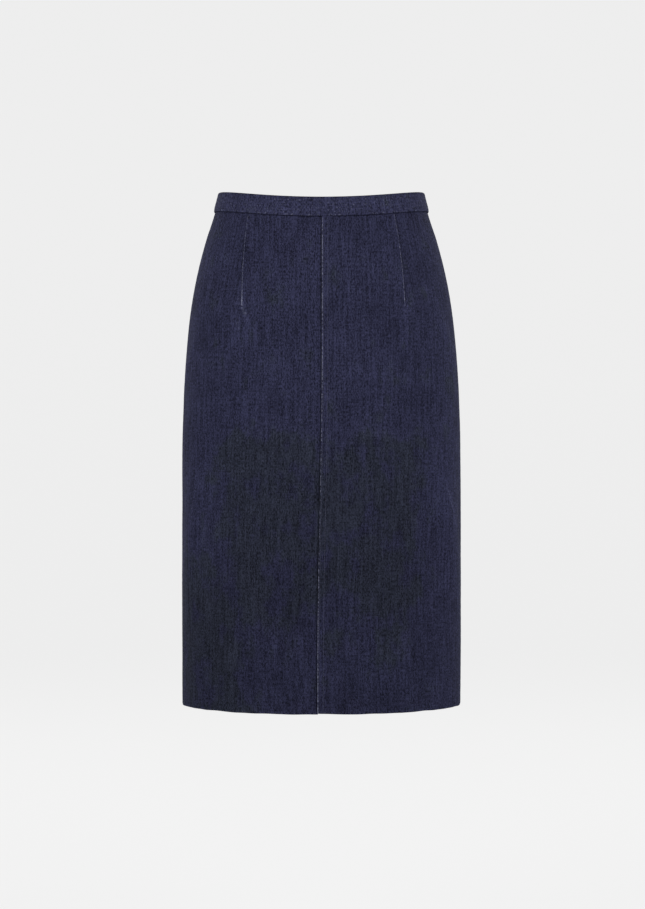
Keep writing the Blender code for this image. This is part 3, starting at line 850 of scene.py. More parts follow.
# ------------------------------------------------------------------ materials
class Nodes:
    """Adds nodes to a tree. A node's inputs are set to values or fed by other nodes' sockets."""

    def __init__(self, tree):
        self.tree = tree

    def add(self, kind, inputs=(), **settings):
        node = self.tree.nodes.new(kind)
        for name, value in settings.items():
            setattr(node, name, value)
        for place, value in dict(inputs).items():
            if isinstance(value, bpy.types.NodeSocket):
                self.tree.links.new(value, node.inputs[place])
            else:
                node.inputs[place].default_value = value
        return node

    def stretched(self, vector, factors):
        """The vector times three factors, one for each of its parts."""
        return self.add("ShaderNodeVectorMath", {0: vector, 1: factors}, operation="MULTIPLY").outputs[0]

    def scaled(self, vector, scale):
        """The vector, or the colour, times one factor."""
        inputs = {0: vector, "Scale": scale}
        return self.add("ShaderNodeVectorMath", inputs, operation="SCALE").outputs[0]

    def parts(self, vector):
        return self.add("ShaderNodeSeparateXYZ", {0: vector}).outputs

    def object_place(self):
        return self.add("ShaderNodeTexCoord").outputs["Object"]

    def cloth_cut(self):
        return self.add("ShaderNodeUVMap", uv_map=UV_NAME).outputs[0]

    def noise(self, vector, scale, detail=2.0, roughness=0.5):
        """Noise over a vector that is stretched by the scale, as three numbers or one."""
        factors = scale if isinstance(scale, tuple) else (scale,) * 3
        place = self.stretched(vector, factors)
        inputs = {"Vector": place, "Scale": 1.0, "Detail": detail, "Roughness": roughness}
        return self.add("ShaderNodeTexNoise", inputs).outputs[0]

    def math(self, operation, *values):
        return self.add("ShaderNodeMath", dict(enumerate(values)), operation=operation).outputs[0]

    def weighed(self, *pairs):
        """The sum of each value's distance from its middle, 0.5, times its weight."""
        total = 0.0
        for value, weight in pairs:
            middle = self.math("SUBTRACT", value, 0.5)
            total = self.math("MULTIPLY_ADD", middle, weight, total)
        return total

    def spread(self, value, low, high, to_low=0.0, to_high=1.0, curve="SMOOTHSTEP"):
        """The value's range from low to high, spread out to the second range."""
        inputs = {0: value, 1: low, 2: high, 3: to_low, 4: to_high}
        return self.add("ShaderNodeMapRange", inputs, interpolation_type=curve).outputs[0]

    def mix(self, factor, first, second):
        """The first colour where the factor is 0 and the second where it is 1."""
        inputs = {0: factor, 6: first, 7: second}
        return self.add("ShaderNodeMix", inputs, data_type="RGBA").outputs[2]


def shared_group(name, inputs, outputs, fill):
    """A node group that is built once. fill makes its nodes and returns its outputs' sockets."""
    if name in bpy.data.node_groups:
        return bpy.data.node_groups[name]
    tree = bpy.data.node_groups.new(name, "ShaderNodeTree")
    for label, kind, value in inputs:
        socket = tree.interface.new_socket(label, in_out="INPUT", socket_type=kind)
        if value is not None:
            socket.default_value = value
    for label, kind in outputs:
        tree.interface.new_socket(label, in_out="OUTPUT", socket_type=kind)
    nodes = Nodes(tree)
    given = nodes.add("NodeGroupInput").outputs
    made = fill(nodes, given)
    result = nodes.add("NodeGroupOutput")
    for (label, _), socket in zip(outputs, made):
        tree.links.new(socket, result.inputs[label])
    return tree


FLOAT, VECTOR = "NodeSocketFloat", "NodeSocketVector"
WHITE = (1.0, 1.0, 1.0, 1.0)

# How often the slubs repeat over a slub's width and length, and the rest of the weave in a metre.
SLUB = (1.0, 1.0, 1.0)
LONG_SLUB = (0.42, 0.28, 1.0)
SHORT_SLUB = (0.9, 3.5, 1.0)
WEFT = (75.0, 620.0, 1.0)
FLECK = (800.0, 310.0, 1.0)
SPECK = (1600.0, 1000.0, 1.0)
TWILL_STEP = 0.0011


def twill_group():
    """The weave of denim: slubby upright warp yarns, a fleck from yarn to yarn and the diagonal of
    the twill. Tone runs from 0, dark, to 1, pale."""
    inputs = [
        ("Cloth", VECTOR, None),
        ("Yarn Width", FLOAT, 0.0013),
        ("Slub Length", FLOAT, 0.016),
        ("Slub", FLOAT, 1.0),
        ("Fleck", FLOAT, 1.0),
        ("Twill", FLOAT, 1.0),
    ]

    def fill(nodes, given):
        yarn = nodes.math("DIVIDE", 1.0, given["Yarn Width"])
        run = nodes.math("DIVIDE", 1.0, given["Slub Length"])
        size = nodes.add("ShaderNodeCombineXYZ", {0: yarn, 1: run, 2: 1.0}).outputs[0]
        yarns = nodes.stretched(given["Cloth"], size)
        slub = nodes.noise(yarns, SLUB, 1.5, 0.55)
        long_slub = nodes.noise(yarns, LONG_SLUB, 1.0)
        short_slub = nodes.noise(yarns, SHORT_SLUB, 1.0)
        weft = nodes.noise(given["Cloth"], WEFT, 1.0)
        fleck = nodes.noise(given["Cloth"], FLECK, 1.0, 0.7)
        speck = nodes.noise(given["Cloth"], SPECK, 2.0, 0.65)
        across, along, _ = nodes.parts(given["Cloth"])
        diagonal = nodes.math("ADD", across, along)
        wave = nodes.math("SINE", nodes.math("MULTIPLY", diagonal, 2 * math.pi / TWILL_STEP))
        streaks = nodes.weighed((slub, 0.8), (long_slub, 1.0), (short_slub, 1.0), (weft, 0.6))
        streaks = nodes.math("MULTIPLY", streaks, given["Slub"])
        flecks = nodes.math("MULTIPLY", nodes.weighed((fleck, 3.2), (speck, 2.1)), given["Fleck"])
        twill = nodes.math("MULTIPLY", nodes.math("MULTIPLY", wave, 0.25), given["Twill"])
        total = nodes.math("ADD", nodes.math("ADD", streaks, flecks), twill)
        tone = nodes.spread(nodes.math("ADD", total, 0.5), 0.0, 1.0, curve="LINEAR")
        yarn_height = nodes.weighed((slub, 0.6), (fleck, 0.6), (speck, 0.7))
        return tone, nodes.math("ADD", nodes.math("MULTIPLY", wave, 0.35), yarn_height)

    return shared_group("denim twill", inputs, [("Tone", FLOAT), ("Height", FLOAT)], fill)


# Where the dye changes, and where painted light and shade change the colour, in metres: from where to where
# they do and, where two numbers follow, the values there. The green lies across the knees and in the lower
# corner on the wearer's right.
GREEN_TOP = (-0.27, -0.34)
GREEN_LOW = (-0.58, -0.49)
GREEN_SIDES = (0.145, 0.1)
CORNER_SIDE = (-0.07, -0.12)
CORNER_TOP = (-0.44, -0.52)
# Painted shade: the colour darkens towards the hem.
PAINTED_SHADE_DOWN = (-0.3, -0.6, 0.02, -0.15)
# Painted light: the colour is paler towards the sides, and lower down on the wearer's left side.
PAINTED_LIGHT_SIDES = (0.115, 0.172, 0.0, 0.11)
PAINTED_LIGHT_LEFT_SIDE = (0.13, 0.165)
PAINTED_LIGHT_LEFT_DOWN = (-0.25, -0.33, 0.0, 0.12)


def dye_group():
    """How the indigo varies over the skirt: large soft clouds that turn greener and darker low down
    in front and behind, in ragged patches. Its second output also carries painted shade, darker towards the
    hem, and painted light, paler at the sides and low on the wearer's left side."""
    inputs = [("Place", VECTOR, None), ("Patch Size", FLOAT, 0.03)]

    def fill(nodes, given):
        patches = nodes.scaled(given["Place"], nodes.math("DIVIDE", 1.0, given["Patch Size"]))
        clouds = nodes.noise(patches, 0.45, 3.0, 0.55)
        ragged = nodes.noise(patches, (1.3, 1.3, 0.8), 4.0, 0.65)
        mottle = nodes.noise(patches, (3.2, 3.2, 2.2), 2.0, 0.6)
        side, _, level = nodes.parts(given["Place"])
        outwards = nodes.math("ABSOLUTE", side)
        knee = nodes.math("MULTIPLY", nodes.spread(level, *GREEN_TOP), nodes.spread(level, *GREEN_LOW))
        middle = nodes.math("MULTIPLY", knee, nodes.spread(outwards, *GREEN_SIDES))
        corner_side, corner_top = nodes.spread(side, *CORNER_SIDE), nodes.spread(level, *CORNER_TOP)
        zone = nodes.math("MAXIMUM", middle, nodes.math("MULTIPLY", corner_side, corner_top))
        wide = nodes.math("MULTIPLY_ADD", zone, 0.3, nodes.weighed((ragged, 1.3), (clouds, 0.8)))
        green = nodes.spread(wide, 0.06, 0.32)
        # Painted light, paler at the sides and low on the wearer's left, and painted shade, darker towards
        # the hem.
        hip_side, hip_down = nodes.spread(side, *PAINTED_LIGHT_LEFT_SIDE), nodes.spread(level, *PAINTED_LIGHT_LEFT_DOWN)
        left_hip = nodes.math("MULTIPLY", hip_side, hip_down)
        sides = nodes.math("ADD", nodes.spread(outwards, *PAINTED_LIGHT_SIDES), left_hip)
        fall = nodes.math("ADD", nodes.spread(level, *PAINTED_SHADE_DOWN), sides)
        cloudy = nodes.weighed((clouds, 0.6), (ragged, 0.6), (mottle, 0.55))
        return green, nodes.math("ADD", 0.5, nodes.math("ADD", cloudy, fall))

    return shared_group("indigo dye and painted light", inputs, [("Green", FLOAT), ("Depth", FLOAT)], fill)


def rubbed_group():
    """Where a worn edge has lost its dye, broken up along the yarns, and the painted light and shade that
    scale the colour:
    darker as painted shade where the input is below 0, and paler above 0, as wear and painted highlights.
    Wear is 1 on a worn edge and -1 deep in a crease."""
    inputs = [("Cloth", VECTOR, None), ("Wear", FLOAT, 0.0)]

    def fill(nodes, given):
        broken = nodes.noise(given["Cloth"], (620.0, 330.0, 1.0), 2.0, 0.6)
        edge = nodes.math("SUBTRACT", 0.86, nodes.math("MULTIPLY", given["Wear"], 0.52))
        gone = nodes.math("SUBTRACT", broken, edge)
        # Painted shade below 0, and painted light together with wear above 0.
        painted_shading = nodes.spread(given["Wear"], -1.0, 1.0, 0.45, 1.55, "LINEAR")
        return nodes.spread(gone, -0.12, 0.16), painted_shading

    return shared_group("rubbed edge and painted shading", inputs, [("Paleness", FLOAT), ("Crease Shade", FLOAT)], fill)


def thread_group():
    """Fine plies that twist round a thread, slightly uneven in tone."""

    def fill(nodes, given):
        plies = nodes.noise(given["Place"], (1800.0, 1800.0, 2600.0), 1.0)
        uneven = nodes.noise(given["Place"], 160.0)
        return nodes.math("ADD", 0.5, nodes.weighed((plies, 1.2), (uneven, 0.8))), plies

    outputs = [("Tone", FLOAT), ("Plies", FLOAT)]
    return shared_group("twisted thread", [("Place", VECTOR, None)], outputs, fill)


def new_material(name, **sockets):
    """The nodes of a new material, and its Principled BSDF with these sockets set."""
    material = bpy.data.materials.new(name)
    material.use_nodes = True
    shader = material.node_tree.nodes["Principled BSDF"]
    for label, value in sockets.items():
        shader.inputs[label.replace("_", " ")].default_value = value
    return Nodes(material.node_tree), shader


def once(make):
    """Makes a material the first time it is asked for, and then returns the same one."""

    def get():
        if make.__name__ not in bpy.data.materials:
            make()
        return bpy.data.materials[make.__name__]

    return get


def link(nodes, socket, shader, label):
    """Feeds one of the shader's sockets."""
    nodes.tree.links.new(socket, shader.inputs[label])


def grouped(nodes, tree, inputs):
    """The outputs of a shared group with these inputs."""
    return nodes.add("ShaderNodeGroup", inputs, node_tree=tree).outputs


def bumped(nodes, height, distance, strength=1.0):
    """The surface's normal, roughened by a height over a distance in metres."""
    inputs = {"Strength": strength, "Distance": distance, "Height": height}
    return nodes.add("ShaderNodeBump", inputs).outputs[0]


def solid(colour, gain=1.0):
    """The colour, brighter by the gain, with its alpha."""
    return (*(part * gain for part in colour), 1.0)


@once
def denim_face():
    """The right side of the denim: deep indigo warp with a slubby, slightly heathered look, darkened and
    lightened by painted shade and painted highlights.
    """
    denim = bpy.context.scene.skirt_denim
    nodes, shader = new_material(
        "denim_face", Roughness=0.92, Specular_IOR_Level=0.04, Sheen_Weight=denim.sheen, Sheen_Roughness=0.45,
        Sheen_Tint=solid(denim.sheen_tint),
    )
    cut, place = nodes.cloth_cut(), nodes.object_place()
    # The cloth's wear, painted shade and painted highlights, from its attribute.
    wear = nodes.add("ShaderNodeAttribute", attribute_name=WEAR_AND_SHADING_NAME).outputs["Fac"]
    weave = grouped(nodes, twill_group(), {
        "Cloth": cut, "Yarn Width": denim.yarn_width, "Slub Length": denim.slub_length,
        "Slub": denim.slub, "Fleck": denim.fleck,
    })
    dye = grouped(nodes, dye_group(), {"Place": place})
    rubbed = grouped(nodes, rubbed_group(), {"Cloth": cut, "Wear": wear})
    dark = nodes.mix(dye["Green"], solid(denim.indigo, denim.dark_gain), solid(denim.green, denim.dark_gain))
    pale = nodes.mix(dye["Green"], solid(denim.indigo, denim.pale_gain), solid(denim.green, denim.pale_gain))
    colour = nodes.mix(weave["Tone"], dark, pale)
    # Painted shade and light: the dye group's gradients and the attribute's shading scale the colour, besides
    # its clouds of dye.
    dye_and_light_shade = nodes.spread(dye["Depth"], 0.0, 1.0, 0.5, 1.5, "LINEAR")
    shade = nodes.math("MULTIPLY", dye_and_light_shade, rubbed["Crease Shade"])
    colour = nodes.mix(rubbed["Paleness"], nodes.scaled(colour, shade), solid(denim.worn))
    link(nodes, colour, shader, "Base Color")
    link(nodes, bumped(nodes, weave["Height"], 0.00022, 0.6), shader, "Normal")


@once
def denim_reverse():
    """The wrong side of the denim, where the undyed weft shows."""
    denim = bpy.context.scene.skirt_denim
    nodes, shader = new_material("denim_reverse", Roughness=0.92, Specular_IOR_Level=0.2)
    weave = grouped(nodes, twill_group(), {
        "Cloth": nodes.cloth_cut(), "Yarn Width": 0.0016, "Slub Length": 0.007, "Slub": 0.9, "Fleck": 1.0,
        "Twill": 0.9,
    })
    dye = grouped(nodes, dye_group(), {"Place": nodes.object_place()})
    colour = nodes.mix(weave["Tone"], solid(denim.weft, 0.55), solid(denim.weft, 1.5))
    # Painted shade and light from the dye group's gradients, besides its clouds of dye.
    shade = nodes.spread(dye["Depth"], 0.0, 1.0, 0.9, 1.1, "LINEAR")
    link(nodes, nodes.scaled(colour, shade), shader, "Base Color")
    link(nodes, bumped(nodes, weave["Height"], 0.00025, 0.7), shader, "Normal")


@once
def denim_raw_edge():
    """A cut edge of the denim: ends of dark warp and pale weft in turn."""
    denim = bpy.context.scene.skirt_denim
    nodes, shader = new_material("denim_raw_edge", Roughness=0.95, Specular_IOR_Level=0.15)
    ends = nodes.spread(nodes.noise(nodes.object_place(), 1500.0, 2.0, 0.6), 0.42, 0.6)
    link(nodes, nodes.mix(ends, solid(denim.indigo, 0.9), solid(denim.weft)), shader, "Base Color")
    link(nodes, bumped(nodes, ends, 0.0002), shader, "Normal")


def denim_set():
    """The right side, the wrong side and the cut edges."""
    return [denim_face(), denim_reverse(), denim_raw_edge()]


def folded_denim_set():
    """The same for a piece whose ends are turned in, so that no cut edge shows."""
    return [denim_face(), denim_reverse(), denim_face()]


def twisted_material(name, colour, sheen):
    """Thread of this colour, with this much nap."""
    nodes, shader = new_material(name, Roughness=0.7, Specular_IOR_Level=0.12, Sheen_Weight=sheen)
    thread = grouped(nodes, thread_group(), {"Place": nodes.object_place()})
    link(nodes, nodes.mix(thread["Tone"], solid(colour, 0.6), solid(colour, 1.4)), shader, "Base Color")
    link(nodes, bumped(nodes, thread["Plies"], 0.00012), shader, "Normal")


@once
def sewing_thread():
    twisted_material("sewing_thread", bpy.context.scene.skirt_sewing.thread_colour, 0.02)


@once
def overlock_thread():
    twisted_material("overlock_thread", bpy.context.scene.skirt_sewing.overlock_colour, 0.05)


HERRINGBONE_WIDTH = 0.0016
RIB_STEP = 0.0009


@once
def zip_tape():
    """Narrow woven tape with a fine herringbone."""
    zip_look = bpy.context.scene.skirt_zip
    nodes, shader = new_material("zip_tape", Roughness=0.82, Specular_IOR_Level=0.3)
    cut = nodes.cloth_cut()
    across, along, _ = nodes.parts(cut)
    slant = nodes.math("ADD", along, nodes.math("PINGPONG", across, HERRINGBONE_WIDTH))
    rib = nodes.math("SINE", nodes.math("MULTIPLY", slant, 2 * math.pi / RIB_STEP))
    uneven = nodes.noise(cut, 700.0, 3.0, 0.6)
    middle = nodes.math("ADD", 0.5, nodes.weighed((uneven, 0.9)))
    tone = nodes.math("ADD", nodes.math("MULTIPLY", rib, 0.22), middle)
    link(nodes, nodes.mix(tone, solid(zip_look.tape, 0.6), solid(zip_look.tape, 1.5)), shader, "Base Color")
    link(nodes, bumped(nodes, nodes.math("ADD", rib, uneven), 0.0002, 0.7), shader, "Normal")


@once
def coil_nylon():
    """The zip's smooth nylon coil."""
    zip_look = bpy.context.scene.skirt_zip
    nodes, shader = new_material("coil_nylon", Specular_IOR_Level=0.5)
    cloudy = nodes.noise(nodes.object_place(), 420.0)
    link(nodes, nodes.mix(cloudy, solid(zip_look.tape, 1.1), solid(zip_look.tape, 2.2)), shader, "Base Color")
    link(nodes, nodes.spread(cloudy, 0.3, 0.7, 0.3, 0.48), shader, "Roughness")


@once
def zip_enamel():
    """Painted zinc: a smooth navy coat with a faint orange-peel and slightly rubbed high spots."""
    zip_look = bpy.context.scene.skirt_zip
    nodes, shader = new_material("zip_enamel", Metallic=0.0, Coat_Weight=0.4, Coat_Roughness=0.2)
    place = nodes.object_place()
    peel = nodes.noise(place, 900.0)
    handled = nodes.noise(place, 260.0, 3.0, 0.6)
    rubbed = nodes.spread(handled, 0.56, 0.74)
    link(nodes, nodes.mix(rubbed, solid(zip_look.enamel), solid(zip_look.enamel, 2.4)), shader, "Base Color")
    link(nodes, nodes.spread(handled, 0.3, 0.7, 0.28, 0.42), shader, "Roughness")
    link(nodes, bumped(nodes, peel, 0.00005, 0.5), shader, "Normal")


@once
def studio_paper():
    """Seamless pale paper, lit evenly."""
    stage = bpy.context.scene.skirt_stage
    nodes, shader = new_material(
        "studio_paper", Roughness=1.0, Specular_IOR_Level=0.0, Emission_Color=WHITE,
        Emission_Strength=stage.paper_glow,
    )
    fibre = nodes.noise(nodes.object_place(), 3.0)
    link(nodes, nodes.mix(fibre, solid(stage.paper, 0.995), solid(stage.paper, 1.005)), shader, "Base Color")


# ------------------------------------------------------------------ sizes and colours to change
def length_setting(name, description, value, low, high):
    return bpy.props.FloatProperty(
        name=name, description=description, default=value, min=low, max=high, precision=5, unit="LENGTH"
    )


def share_setting(name, description, value, high=4.0):
    return bpy.props.FloatProperty(name=name, description=description, default=value, min=0.0, max=high)


def colour_setting(name, description, value):
    return bpy.props.FloatVectorProperty(
        name=name, description=description, default=value, size=3, min=0.0, max=1.0, subtype="COLOR"
    )


class SkirtForm(bpy.types.PropertyGroup):
    """How the cloth is creased and puckered."""

    crease_strength: share_setting("Creases", "How deep the small creases are", 1.8)
    pucker_depth: length_setting("Pucker", "How deep the seams pucker", 0.00012, 0.0, 0.001)
    sway_depth: length_setting("Sway", "How uneven the hanging cloth is", 0.0003, 0.0, 0.004)


class SkirtDenim(bpy.types.PropertyGroup):
    """The denim's colours and weave."""

    indigo: colour_setting("Indigo", "The dyed warp", (0.0155, 0.0163, 0.0354))
    green: colour_setting("Green cast", "The dye where it turns greener", (0.0125, 0.0143, 0.0238))
    worn: colour_setting("Worn", "Rubbed edges", (0.115, 0.12, 0.172))
    weft: colour_setting("Weft", "The undyed weft on the wrong side", (0.16, 0.175, 0.225))
    sheen_tint: colour_setting("Sheen tint", "The colour of the nap's sheen", (0.55, 0.6, 0.9))
    sheen: share_setting("Sheen", "How strong the nap's sheen is", 0.015, 1.0)
    dark_gain: share_setting("Dark yarns", "The darkest yarns, as a share of the dye", 0.35)
    pale_gain: share_setting("Pale yarns", "The palest yarns, as a share of the dye", 1.75)
    slub: share_setting("Slub", "How streaky the yarns are", 1.15)
    fleck: share_setting("Fleck", "How much the cloth is flecked", 0.76)
    yarn_width: length_setting("Yarn", "How wide a slub is", 0.0013, 0.0002, 0.01)
    slub_length: length_setting("Slub length", "How long a slub is", 0.014, 0.001, 0.1)


class SkirtSewing(bpy.types.PropertyGroup):
    """Stitches and threads."""

    stitch_length: length_setting("Stitch", "One stitch", 0.0026, 0.001, 0.006)
    stitch_gap: length_setting("Gap", "Between two stitches", 0.0005, 0.0, 0.003)
    thread_width: length_setting("Thread", "How thick the thread is", 0.00042, 0.0001, 0.001)
    thread_colour: colour_setting("Thread colour", "Tonal topstitching", (0.042, 0.045, 0.076))
    overlock_colour: colour_setting("Overlock colour", "Thread over the raw edges", (0.032, 0.035, 0.062))


class SkirtZip(bpy.types.PropertyGroup):
    """The concealed zip."""

    coil_pitch: length_setting("Coil", "From one turn of the coil to the next", 0.0014, 0.0008, 0.003)
    tape: colour_setting("Tape", "The tape's navy", (0.012, 0.013, 0.024))
    enamel: colour_setting("Enamel", "The slider's paint", (0.020, 0.022, 0.042))


class SkirtStage(bpy.types.PropertyGroup):
    """The studio round the skirt."""

    paper: colour_setting("Paper", "The seamless floor", (0.08, 0.08, 0.08))
    paper_glow: share_setting("Paper glow", "How evenly lit the paper is", 0.79)
    sky: share_setting("Sky", "Soft light from all round", 0.45)
    key: bpy.props.FloatProperty(
        name="Key", description="Each front soft box's power", default=52.0, min=0.0, subtype="POWER"
    )


SETTINGS = (
    ("skirt_form", SkirtForm),
    ("skirt_denim", SkirtDenim),
    ("skirt_sewing", SkirtSewing),
    ("skirt_zip", SkirtZip),
    ("skirt_stage", SkirtStage),
)


# ------------------------------------------------------------------ pieces
def fasten(piece, body, replaced=()):
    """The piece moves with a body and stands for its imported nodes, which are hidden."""
    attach(piece, body)
    if replaced:
        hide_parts(*replaced)


# Round a dart's pleat: the share of its width, how much further along, and how far out it lies.
TUCK_NEAR = PANEL - LAYER
TUCK_FAR = PANEL - 2 * LAYER
TUCK_PATH = (
    (0.02, 0.0, TUCK_NEAR + 0.35), (0.1, 0.5, TUCK_NEAR), (0.4, 0.0, TUCK_NEAR), (0.7, 0.0, TUCK_NEAR),
    (0.93, 0.0, TUCK_NEAR), (1.0, 0.3, TUCK_NEAR - 0.15), (1.0, 0.55, (TUCK_NEAR + TUCK_FAR) / 2),
    (1.0, 0.3, TUCK_FAR + 0.15), (0.93, 0.0, TUCK_FAR), (0.7, 0.0, TUCK_FAR), (0.4, 0.0, TUCK_FAR),
    (0.1, 0.0, TUCK_FAR), (-0.05, -0.6, TUCK_FAR + 0.25),
)
TUCK_ROWS = 40
TUCK_END = 0.985
TUCK_DROP = 0.5
TUCK_CLOTH = CLOTH * 0.95


def dart_tuck(name, dart):
    """The cloth that a dart takes in: a flat pleat inside, which narrows to the dart's tip."""
    shares = np.linspace(0.0, TUCK_END, TUCK_ROWS)
    top = float(seam_height(dart.tip_angle)) - TUCK_DROP
    height = np.broadcast_to(top - shares * dart.length, (len(TUCK_PATH), TUCK_ROWS))
    width = 0.5 * DART_INTAKE * (1 - shares) + 1.0
    part, extra, out = (item[:, None] for item in fields(TUCK_PATH))
    along = (part * width[None, :] + extra) * dart.pressed * np.sign(dart.tip_angle)
    line = dart_angle(dart, height)
    angle = line + along / length_per_degree(dart.tip_angle, height)
    places = on_tube(angle, height, out + relief(line, height))
    inside_out = [denim_reverse(), denim_face(), denim_raw_edge()]
    return plain_sheet(name, places, height, inside_out, TUCK_CLOTH)


class SKIRT_OT_front_panels(bpy.types.Operator):
    """Cuts the two front panels and laps the left one over the right"""

    bl_idname = "skirt.front_panels"
    bl_label = "Front panels"

    def execute(self, context):
        left_grain, right_grain = len(LAP_UNDER_COLUMNS), 4
        left = panel("front_left_cloth", left_front_columns(), FRONT_LEFT_DART, left_grain)
        right = panel("front_right_cloth", right_front_columns(), FRONT_RIGHT_DART, right_grain, -1)
        fasten(left, SKIRT_BODY, ["front_panel_left"])
        fasten(right, SKIRT_BODY, ["front_panel_right"])
        return {"FINISHED"}


class SKIRT_OT_back_panels(bpy.types.Operator):
    """Cuts the two back panels, seamed at the centre back below the zip"""

    bl_idname = "skirt.back_panels"
    bl_label = "Back panels"

    def execute(self, context):
        left_columns = back_columns(BACK_LEFT_DART.tip_angle)
        right_columns = reflected(back_columns(-BACK_RIGHT_DART.tip_angle))
        grain, cut_from = 7, 1.0
        left = panel("back_left_cloth", left_columns, BACK_LEFT_DART, grain, 1, cut_from)
        right = panel("back_right_cloth", right_columns, BACK_RIGHT_DART, grain, -1, cut_from)
        fasten(left, SKIRT_BODY, ["back_panel_left"])
        fasten(right, SKIRT_BODY, ["back_panel_right"])
        return {"FINISHED"}


class SKIRT_OT_dart_tucks(bpy.types.Operator):
    """Lays each dart's pleat inside its panel"""

    bl_idname = "skirt.dart_tucks"
    bl_label = "Dart tucks"

    def execute(self, context):
        names = ("front_left", "front_right", "back_left", "back_right")
        for name, dart in zip(names, DARTS):
            fasten(dart_tuck(f"{name}_dart_tuck", dart), SKIRT_BODY)
        return {"FINISHED"}


# Heights above the waist seam up the band's inside and down its outside, the turns of its fold, and
# its lower edge turned under: heights, and how far in from the outside's lowest row.
FACING_ROWS = (-BAND_FACING_DROP, -4, -2, 0, 2, 5, 8, 11, 14, 17, 20, 22.5)
BAND_FOLD_TURNS = (0, 0.12, 0.25, 0.38, 0.5, 0.62, 0.75, 0.88, 1)
BAND_FACE_ROWS = (23, 21, 19, 17, 15, 13, 11, 9, 7, 5, 3.8, 2.9, 2.3)
BAND_TURNED_UNDER = ((1.8, 0.08), (1.4, 0.35), (1.35, 0.7), (1.7, 0.98), (2.6, 1.02))
BAND_FOLD_TOP = 24.5
FACING_PULL = 0.5


def band_face(rise):
    """How far out the band's outer face stands at a height above the waist seam."""
    shares, faces = zip(*BAND_BULGE)
    return float(curve_through(shares, faces, 1 - rise / BAND_HEIGHT))


def facing_at(rise):
    """How far out the middle of the band's inner cloth lies at a height above the waist seam."""
    pull = FACING_PULL * (1 - float(ease(rise, 2.5, 8)))
    return band_face(max(0.0, rise)) - BAND_INNER - HALF_CLOTH - pull


def band_profile():
    """The waistband's cloth from the facing's edge inside, over the top and down to the waist seam,
    as heights above the seam and distances out."""
    inside = [(rise, facing_at(rise)) for rise in FACING_ROWS]
    first, last = inside[-1][1], band_face(BAND_FOLD_TOP) - HALF_CLOTH
    radius = (last - first) / 2
    fold_base = BAND_HEIGHT - HALF_CLOTH - radius
    fold = [
        (fold_base + radius * math.sin(math.pi * turn), between(first, last, half_turn_share(turn)))
        for turn in BAND_FOLD_TURNS
    ]
    outside = [(rise, band_face(rise) - HALF_CLOTH) for rise in BAND_FACE_ROWS]
    edge = outside[-1][1]
    return inside + fold + outside + [(rise, edge - inwards) for rise, inwards in BAND_TURNED_UNDER]


# How far the bulk inside pushes the facing in: at the darts' folds, and at each seam and the lap.
DART_BULK = 1.75
SEAM_BULK = ((90, 0.7), (-90, 0.7), (180, 0.3), (0, 0.4))
# The middle of a dart's fold lies this far from its line. The bulk fades out over these distances,
# and up the facing over these heights.
DART_BULK_MIDDLE = 5.0
DART_BULK_REACH = (8.0, 15.0)
SEAM_BULK_REACH = (12.0, 18.0)
BULK_HEIGHTS = (0.5, 9.0)


def bulk_under_facing(angle):
    """How far in the darts and seams below the waist seam push the band's facing."""
    degree = length_per_degree(angle, WAIST_TOP - BAND_HEIGHT)
    push = np.zeros(np.shape(angle))
    for dart in DARTS:
        aside = DART_BULK_MIDDLE / degree * dart.pressed * np.sign(dart.tip_angle)
        away = np.abs(turn_between(angle, dart.waist_angle + aside)) * degree
        push = np.maximum(push, DART_BULK * (1 - ease(away, *DART_BULK_REACH)))
    for seam, bulk in SEAM_BULK:
        away = np.abs(turn_between(angle, seam)) * degree
        push = np.maximum(push, bulk * (1 - ease(away, *SEAM_BULK_REACH)))
    return push


# The angles of the band's even columns, which end before the second angle.
BAND_FRONT_FIELD = (-86.25, 86.3)
BAND_BACK_FIELD = (93.75, 176.3)
# The middle of the cloth where a band's end is pinched shut, and the columns that lead up to it:
# how far from the end, and how nearly shut.
PINCHED = -0.35
BAND_END_COLUMNS = ((4.0, 0.0), (2.4, 0.06), (1.4, 0.25), (0.7, 0.6), (0.25, 0.9), (0.0, 1.0))
SIDE_PINCH = 0.42
ZIP_PINCH = 0.46
ZIP_END = 0.9
# The band is painted paler all over its face as a painted highlight, dark along its fold as painted shade,
# and a little paler at its lower edge, as wear and a painted highlight. Each of these lines fades out over
# its breadth.
BAND_PAINTED_HIGHLIGHT = 0.33
BAND_FOLD_SHADE, BAND_FOLD_BREADTH = 0.85, 1.3
BAND_EDGE_WEAR_AND_HIGHLIGHT, BAND_EDGE_BREADTH = 0.1, 0.7
# The band's cloth waves broadly round one level of it, and finely all over.
BROAD_WAVE, BROAD_LEVEL, BROAD_REACH = 14.0, 11, 22
FINE_WAVE, FINE_SHARE = 5.5, 0.7


